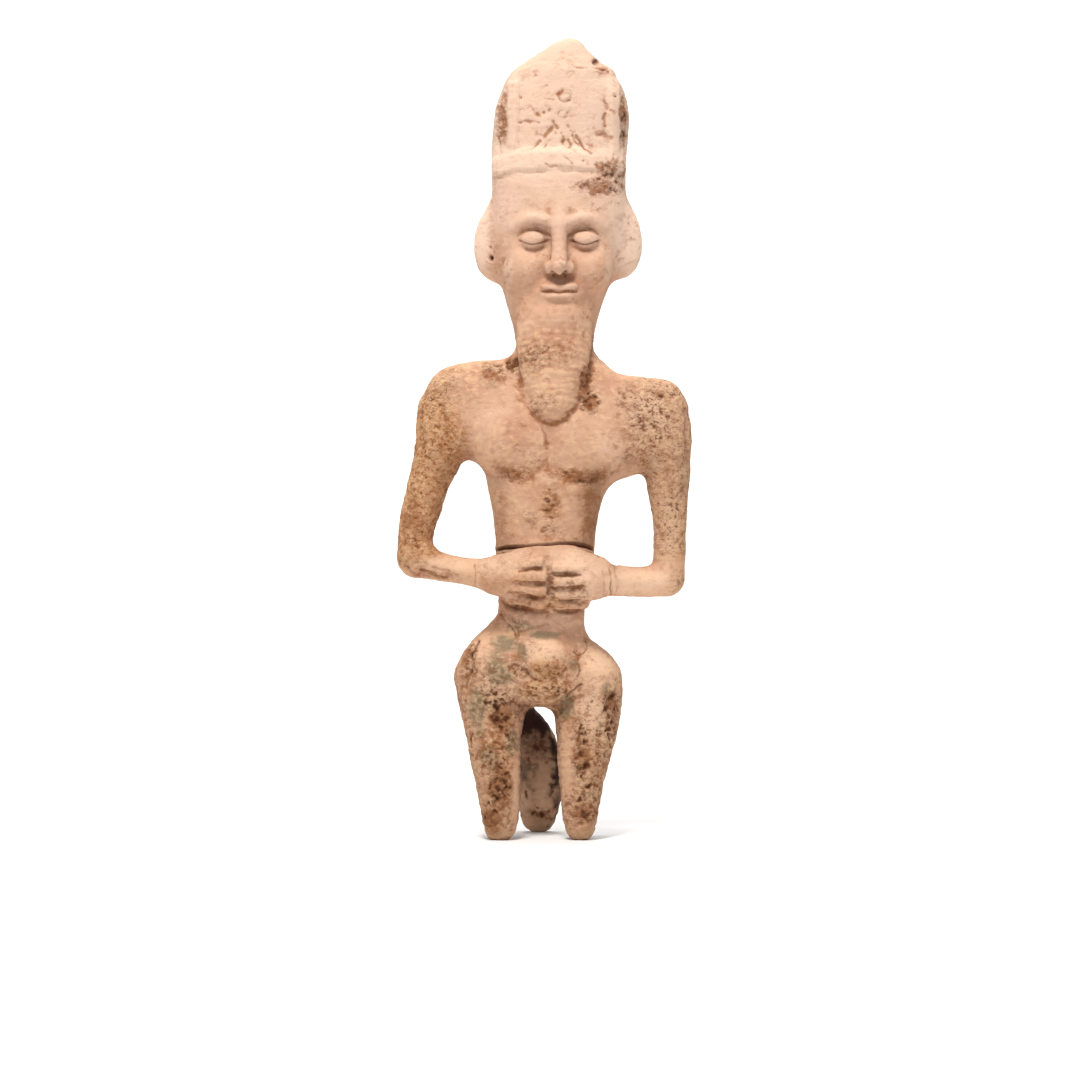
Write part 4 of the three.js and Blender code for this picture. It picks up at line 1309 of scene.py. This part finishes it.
crust = np.clip(
    spots(
        [
            (492, 700, 20, 16, 0.9),
            (507, 690, 16, 12, 0.9),
            (500, 716, 14, 14, 0.8),
            (488, 742, 14, 8, 0.9),
            (500, 760, 14, 12, 0.5),
            (502, 778, 13, 20, 0.9),
            (490, 806, 12, 14, 0.6),
            (606, 715, 11, 24, 0.9),
            (585, 745, 12, 26, 0.8),
            (592, 775, 14, 20, 0.8),
            (582, 808, 12, 14, 0.6),
            (530, 692, 22, 8, 0.6),
            (474, 665, 8, 22, 0.3),
            (650, 420, 34, 30, 0.6),
            (436, 400, 24, 24, 0.5),
            (412, 520, 18, 60, 0.7),
            (676, 500, 14, 60, 0.5),
            (430, 573, 30, 10, 0.9),
            (582, 592, 18, 14, 0.6),
            (515, 580, 28, 14, 0.3),
            (543, 650, 20, 10, 0.6),
            (590, 403, 9, 12, 0.5),
            (548, 690, 24, 9, 0.6),
            (618, 184, 16, 12, 0.5),
        ],
        0.6,
    )
    + 0.3 * behind * (1 - head),
    0,
    1,
)
# general darkening of the skin, more on legs and arms: dirt on the legs, painted shade down both sides of the
# waist, and painted light under the hands
grime_and_shade = np.clip(
    legs * (0.12 + 0.16 * (1 - smooth(24, 56, Z)))
    + 0.4 * smooth(330, 356, Z + 26 * n_patch * behind) * (front + 0.7 * behind)
    - 0.4 * smooth(325, 330, Z) * (1 - smooth(341, 346, Z)) * front
    + 0.3 * behind * head * smooth(-0.3, 0.5, n_big + 0.5 * n_mid)
    + 0.25 * smooth(374, 392, Z)
    - 0.02 * upper_arms
    + 0.12 * (1 - head) * smooth(gz(420), gz(480), Z)
    - spots([(545, 622, 46, 14, 0.35), (490, 650, 16, 14, 0.25), (546, 682, 26, 22, 0.22)], 0.6)
    + 0.25 * behind * (1 - 0.5 * head)
    + spots([(594, 515, 15, 42, 1.0), (500, 515, 9, 40, 0.5), (492, 790, 16, 46, 0.3)], 0.7)
    - spots([(598, 668, 18, 26, 0.2), (640, 582, 40, 12, 0.2)], 0.7),
    0,
    1,
)
# painted sheen down the lower middle of the support leg
pale = np.maximum(pale * (1 - 0.8 * third), 0.45 * third * np.clip(1.1 - np.abs(X + 1.5) / 5, 0, 1) * smooth(4, 12, Z) * (1 - smooth(26, 38, Z)) * front)
# painted shade: the support leg is near black on the side turned to the front, under the body and between the
# legs, with a lit stripe left down its lower front and less dark on its back; the inner sides of the legs are
# darkened the same way
ragx = X + 5.0 * n_blot + 3.0 * n_fine
ragz = Z + 9.0 * n_blot + 5.0 * n_fine
lit = 0.685 - 0.24 * smooth(10, 44, Z + 4 * n_mid)
facing = smooth(-0.35, 0.75, -nf[:, 1] + 0.5 * n_mid)
gap_shade = third * np.clip(
    1.0
    - lit * smooth(-14.0, -8.0, ragx) * (1 - smooth(3.0, 6.0, ragx)) * (1 - smooth(49.5, 53.5, ragz)) * front
    + 0.15 * smooth(34, 48, Z)
    + 0.34 * smooth(-0.05, 0.35, n_mid + 0.7 * n_fine) * front * (0.4 + 0.6 * smooth(12, 28, Z))
    - 0.07 * (1 - smooth(12, 26, Z))
    - 0.1 * front * smooth(-0.3, 0.3, n_patch)
    - 0.2 * (1 - smooth(-12, -8, X))
    - 0.62 * (1 - facing),
    0,
    1,
)
gap_shade = np.maximum(gap_shade, third * 0.8 * spots([(541, 818, 16, 5, 1.0), (541, 748, 5, 6, 1.0)], 0.6) * smooth(-0.2, 0.3, n_blot))
inner = np.clip(1 - np.abs(X + 2.0) / 14.0, 0, 1) * smooth(0.35, 0.75, np.abs(nf[:, 0])) * (1 - smooth(60, 72, Z))
gap_shade = np.maximum(gap_shade, 0.7 * inner * smooth(-8, 2, Yc))

me = bpy.data.meshes.new("figurine_clay")
verts_m = (v + SHIFT) * 0.001
me.vertices.add(len(v))
me.vertices.foreach_set("co", verts_m.astype(F).ravel())
me.loops.add(q.size)
me.loops.foreach_set("vertex_index", q.astype(np.int32).ravel())
me.polygons.add(len(q))
me.polygons.foreach_set("loop_start", np.arange(0, q.size, 4, dtype=np.int32))
me.update(calc_edges=True)
me.validate()
for name, values in (
    ("dark_earth_and_shade", dark_earth_and_shade),
    ("stain_and_shade", stain_and_shade),
    ("pale", pale),
    ("ochre", ochre),
    ("green", green),
    ("rough", rough + 0.28 * upper_arms),
    ("gap_shade", gap_shade),
    ("grime_and_shade", grime_and_shade * (1 - 0.8 * third * front)),
    ("decay", decayed),
    ("crust", crust),
    ("grain", 0.5 + 0.5 * grain * (1 - 0.5 * upper_arms)),
    ("chalk", smooth(248, 264, Z)),
    ("occlusion_shade", occlusion_shade),
):
    a = me.attributes.new(name, "FLOAT", "POINT")
    a.data.foreach_set("value", np.asarray(values, F))

ob = bpy.data.objects.new("figurine_clay", me)
bpy.context.scene.collection.objects.link(ob)
fine = (
    smooth(gz(196), gz(190), Z) * (1 - smooth(gz(66), gz(60), Z))
    + smooth(257, 259, Z) * (1 - smooth(308, 310, Z)) * (np.abs(X - FACE_X) < 23)
    + smooth(gz(618), gz(614), Z) * (1 - smooth(gz(544), gz(538), Z)) * (np.abs(X - 2) < 34)
) * front > 0.5
kept = ob.vertex_groups.new(name="thin")
kept.add(np.nonzero(~fine)[0].tolist(), 1.0, "REPLACE")
mod = ob.modifiers.new("fewer", "DECIMATE")
mod.ratio = 194000 / (2 * len(q))
mod.vertex_group = "thin"
mod.vertex_group_factor = 0.001
print("fine", int(fine.sum()), "of", len(v))
dg = bpy.context.evaluated_depsgraph_get()
done = bpy.data.meshes.new_from_object(ob.evaluated_get(dg))
ob.modifiers.clear()
old = ob.data
ob.data = done
bpy.data.meshes.remove(old)
done.name = "figurine_clay"
done.polygons.foreach_set("use_smooth", np.ones(len(done.polygons), bool))
print("kept", len(done.polygons), "faces, attributes", [a.name for a in done.attributes])

# ---------------------------------------------------------------------------
# Hollows and edges, measured on the finished mesh
# ---------------------------------------------------------------------------
n = len(done.vertices)
co = np.empty(n * 3, F)
done.vertices.foreach_get("co", co)
co = co.reshape(-1, 3).astype(float) * 1000
no = np.empty(n * 3, F)
done.vertices.foreach_get("normal", no)
no = no.reshape(-1, 3)
ed = np.empty(len(done.edges) * 2, np.int32)
done.edges.foreach_get("vertices", ed)
ed = ed.reshape(-1, 2)
deg = np.bincount(ed.ravel(), minlength=n).astype(float)


def spread(a, rounds):
    for _ in range(rounds):
        s = a.copy()
        for k in range(a.shape[1]):
            s[:, k] = (
                np.bincount(ed[:, 0], a[ed[:, 1], k], n) + np.bincount(ed[:, 1], a[ed[:, 0], k], n)
            ) / np.maximum(deg, 1)
        a = 0.35 * a + 0.65 * s
    return a


near = ((spread(co, 2) - co) * no).sum(1)
wide = ((spread(co, 14) - co) * no).sum(1)
hollow = np.clip(near * 5.0, -1, 1) * 0.5 + np.clip(wide * 1.4, -1, 1) * 0.5
a = done.attributes.new("hollow", "FLOAT", "POINT")
a.data.foreach_set("value", hollow.astype(F))

# ---------------------------------------------------------------------------
# Fired clay
# ---------------------------------------------------------------------------
mat = bpy.data.materials.new("weathered clay")
mat.use_nodes = True
nt = mat.node_tree
nt.nodes.clear()


def node(kind, **sets):
    n_ = nt.nodes.new(kind)
    for k, val in sets.items():
        if hasattr(n_, k) and k not in ("Scale",):
            setattr(n_, k, val)
    return n_


def link(a_, b_):
    nt.links.new(a_, b_)


coords = node("ShaderNodeTexCoord")
flat_map = node("ShaderNodeMapping")
flat_map.inputs["Scale"].default_value = (1.0, 1.0, 1.35)
link(coords.outputs["Object"], flat_map.inputs["Vector"])


def tex(scale, detail=3.0, rough_=0.6, distortion=0.0):
    t = node("ShaderNodeTexNoise")
    t.inputs["Scale"].default_value = scale
    t.inputs["Detail"].default_value = detail
    t.inputs["Roughness"].default_value = rough_
    t.inputs["Distortion"].default_value = distortion
    link(flat_map.outputs["Vector"], t.inputs["Vector"])
    return t.outputs["Fac"]


def attr(name):
    t = node("ShaderNodeAttribute")
    t.attribute_name = name
    return t.outputs["Fac"]


def math_(op, a_, b_=None, clamp=False):
    t = node("ShaderNodeMath")
    t.operation = op
    t.use_clamp = clamp
    for i, s in enumerate((a_, b_)):
        if s is None:
            continue
        if isinstance(s, (int, float)):
            t.inputs[i].default_value = s
        else:
            link(s, t.inputs[i])
    return t.outputs[0]


def ramp(value, lo, hi):
    t = node("ShaderNodeMapRange")
    t.interpolation_type = "SMOOTHSTEP"
    t.inputs["From Min"].default_value = lo
    t.inputs["From Max"].default_value = hi
    link(value, t.inputs["Value"])
    return t.outputs["Result"]


def mix(fac, a_, b_):
    t = node("ShaderNodeMix")
    t.data_type = "RGBA"
    t.inputs["Factor"].default_value = 0.5
    if isinstance(fac, (int, float)):
        t.inputs["Factor"].default_value = fac
    else:
        link(fac, t.inputs["Factor"])
    for name, s in (("A", a_), ("B", b_)):
        sock = [i for i in t.inputs if i.name == name and i.type == "RGBA"][0]
        if isinstance(s, tuple):
            sock.default_value = (*s, 1)
        else:
            link(s, sock)
    return [o for o in t.outputs if o.type == "RGBA"][0]


BEIGE = (0.563, 0.339, 0.225)
ROSE = (0.48, 0.26, 0.168)
PALE = (0.76, 0.512, 0.362)
CHALK = (0.75, 0.548, 0.425)
OCHRE = (0.5, 0.235, 0.1)
RUST = (0.295, 0.107, 0.038)
GREEN = (0.235, 0.18, 0.11)
# dark earth, also used for painted shade
EARTH_AND_SHADE = (0.105, 0.037, 0.016)
DARK = (0.13, 0.05, 0.018)
# near black, for painted shade
SHADE_BLACK = (0.024, 0.008, 0.005)
CREAM = (0.77, 0.505, 0.3)

wide_n = tex(38.0, 4.0, 0.6)
mid_n = tex(150.0, 5.0, 0.68)
mid_b = tex(115.0, 5.0, 0.7, 0.4)
fine_n = tex(820.0, 3.0, 0.65)
fine_b = tex(480.0, 3.0, 0.65)
grain_n = tex(1700.0, 2.0, 0.7)


def off(n_, much):
    """A noise, centred on nought."""
    return math_("MULTIPLY", math_("SUBTRACT", n_, 0.5), much)


def plus(*terms):
    out_ = terms[0]
    for t in terms[1:]:
        out_ = math_("ADD", out_, t)
    return out_


def times(*terms):
    out_ = terms[0]
    for t in terms[1:]:
        out_ = math_("MULTIPLY", out_, t)
    return out_


base = mix(ramp(wide_n, 0.38, 0.66), BEIGE, ROSE)
base = mix(times(ramp(plus(attr("ochre"), off(mid_n, 1.3)), 0.05, 0.95), 0.85), base, OCHRE)
chalk = attr("chalk")
light = mix(chalk, PALE, CHALK)
cream = mix(chalk, CREAM, CHALK)
# pale clay and painted highlights
base = mix(times(ramp(plus(attr("pale"), off(mid_b, 0.9)), 0.0, 1.0), 0.95), base, light)
base = mix(times(ramp(plus(attr("green"), off(mid_n, 1.1), off(fine_b, 0.8)), 0.1, 0.95), 0.84), base, GREEN)
# light brown mottling all over
base = mix(times(ramp(mid_b, 0.5, 0.66), 0.32), base, RUST)
# crumbly crust: painted highlight on the raised grains and painted shade between them
g = plus(times(math_("SUBTRACT", attr("grain"), 0.5), 1.2), off(fine_n, 1.5), off(fine_b, 1.4))
amount = ramp(attr("rough"), 0.12, 1.0)
decay = attr("decay")
crust = attr("crust")
between = mix(ramp(plus(decay, times(crust, 0.45)), 0.2, 0.9), RUST, DARK)
base = mix(times(ramp(math_("MULTIPLY", g, -1.0), 0.03, 0.3), amount, 0.9), base, between)
base = mix(times(ramp(g, 0.06, 0.32), amount, plus(times(crust, 0.52), 0.52)), base, cream)
base = mix(times(ramp(plus(attr("green"), off(mid_n, 1.2), off(fine_b, 0.6)), 0.3, 0.95), 0.4), base, GREEN)
# painted highlight on ridges and edges; brown in hollows, as dirt and painted shade
hol = attr("hollow")
base = mix(times(ramp(math_("MULTIPLY", hol, -1.0), 0.05, 0.6), 0.35), base, cream)
base = mix(times(ramp(plus(hol, off(mid_n, 0.6)), 0.1, 0.8), 0.6), base, RUST)
# stains and painted shade
base = mix(times(ramp(plus(attr("stain_and_shade"), off(mid_b, 2.2), off(fine_b, 1.2)), 0.3, 0.95), 0.78), base, RUST)
# painted shade where the solid closes in on itself
base = mix(times(ramp(plus(attr("occlusion_shade"), off(mid_n, 0.5)), 0.15, 1.0), 0.75), base, EARTH_AND_SHADE)
# dirt and painted shade
base = mix(times(attr("grime_and_shade"), 0.5), base, (0.19, 0.092, 0.043))
# painted shade on the support leg and the inner sides of the legs
base = mix(attr("gap_shade"), base, SHADE_BLACK)
# dark earth in hollows, and painted shade
deep = ramp(plus(attr("dark_earth_and_shade"), off(fine_n, 0.8)), 0.2, 0.85)
base = mix(times(deep, 0.92), base, EARTH_AND_SHADE)

bsdf = node("ShaderNodeBsdfPrincipled")
out = node("ShaderNodeOutputMaterial")
link(base, bsdf.inputs["Base Color"])
rough_sock = node("ShaderNodeMapRange")
rough_sock.inputs["From Min"].default_value = 0.3
rough_sock.inputs["From Max"].default_value = 0.7
rough_sock.inputs["To Min"].default_value = 0.78
rough_sock.inputs["To Max"].default_value = 0.95
link(mid_n, rough_sock.inputs["Value"])
link(rough_sock.outputs["Result"], bsdf.inputs["Roughness"])
bsdf.inputs["Specular IOR Level"].default_value = 0.12

bump_h = plus(
    times(g, plus(times(amount, 1.0), 0.12)),
    times(grain_n, 0.2),
)
bump = node("ShaderNodeBump")
bump.inputs["Strength"].default_value = 0.9
bump.inputs["Distance"].default_value = 0.0011
link(bump_h, bump.inputs["Height"])
link(bump.outputs["Normal"], bsdf.inputs["Normal"])
link(bsdf.outputs[0], out.inputs["Surface"])

done.materials.clear()
done.materials.append(mat)
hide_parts("figurine")
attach(ob, "root")

# ---------------------------------------------------------------------------
# Stage, light and camera
# ---------------------------------------------------------------------------
floor = bpy.data.meshes.new("floor")
rows, cols = 40, 2
prof = []
for i in range(rows + 1):
    t = i / rows
    if t < 0.4:
        prof.append((-3.0 + 4.2 * t / 0.4, 0.0))
    elif t < 0.8:
        a_ = (t - 0.4) / 0.4 * math.pi / 2
        prof.append((1.2 + 0.9 * math.sin(a_), 0.9 - 0.9 * math.cos(a_)))
    else:
        prof.append((2.1, 0.9 + (t - 0.8) / 0.2 * 3.0))
fv = [(x_, y_, z_) for y_, z_ in prof for x_ in (-4.0, 4.0)]
ff = [(2 * i, 2 * i + 1, 2 * i + 3, 2 * i + 2) for i in range(rows)]
floor.from_pydata(fv, [], ff)
floor.update()
for poly in floor.polygons:
    poly.use_smooth = True
stage = bpy.data.objects.new("floor", floor)
bpy.context.scene.collection.objects.link(stage)
sm = bpy.data.materials.new("pale floor")
sm.use_nodes = True
sb = sm.node_tree.nodes["Principled BSDF"]
sb.inputs["Base Color"].default_value = (0.8, 0.8, 0.8, 1)
sb.inputs["Roughness"].default_value = 0.9
sb.inputs["Specular IOR Level"].default_value = 0.1
floor.materials.append(sm)

world = bpy.data.worlds.new("studio")
bpy.context.scene.world = world
world.use_nodes = True
world.node_tree.nodes["Background"].inputs[0].default_value = (1.0, 0.985, 0.965, 1)
world.node_tree.nodes["Background"].inputs[1].default_value = 0.36


def area(name, place, aim, size, power, colour):
    data = bpy.data.lights.new(name, "AREA")
    data.shape = "DISK"
    data.size = size
    data.energy = power
    data.color = colour
    o = bpy.data.objects.new(name, data)
    o.location = place
    o.rotation_mode = "QUATERNION"
    o.rotation_quaternion = (Vector(aim) - Vector(place)).to_track_quat("-Z", "Y")
    bpy.context.scene.collection.objects.link(o)
    return o


area("key", (-0.17, -0.75, 1.6), (0.0, 0.0, 0.24), 0.45, 28.0, (1.0, 0.965, 0.93))
area("fill left", (-1.2, -1.0, 0.6), (0.0, 0.0, 0.2), 1.0, 3.0, (1.0, 0.98, 0.96))
area("fill right", (1.4, -0.8, 0.7), (0.0, 0.0, 0.2), 1.0, 3.0, (1.0, 0.98, 0.96))
area("back", (0.0, 0.5, 1.9), (0.0, 2.0, 0.5), 1.4, 45.0, (1.0, 1.0, 1.0))

DISTANCE = 2.0
cam_data = bpy.data.cameras.new("camera")
cam_data.sensor_width = 36.0
cam_data.lens = 36.0 * DISTANCE / (1080 * STEP * 0.001) * 0.998
cam_data.clip_start, cam_data.clip_end = 0.05, 20.0
cam = bpy.data.objects.new("camera", cam_data)
bpy.context.scene.collection.objects.link(cam)
cam.location = (
    (gx(540) + SHIFT[0]) * 0.001,
    -DISTANCE + SHIFT[1] * 0.001,
    gz(539.7) * 0.001,
)
cam.rotation_euler = (math.pi / 2, 0, 0)
bpy.context.scene.camera = cam

scene = bpy.context.scene
scene.view_settings.view_transform = "Standard"
scene.view_settings.look = "None"
scene.view_settings.exposure = 0.0
scene.view_settings.gamma = 1.0

bpy.context.view_layer.update()
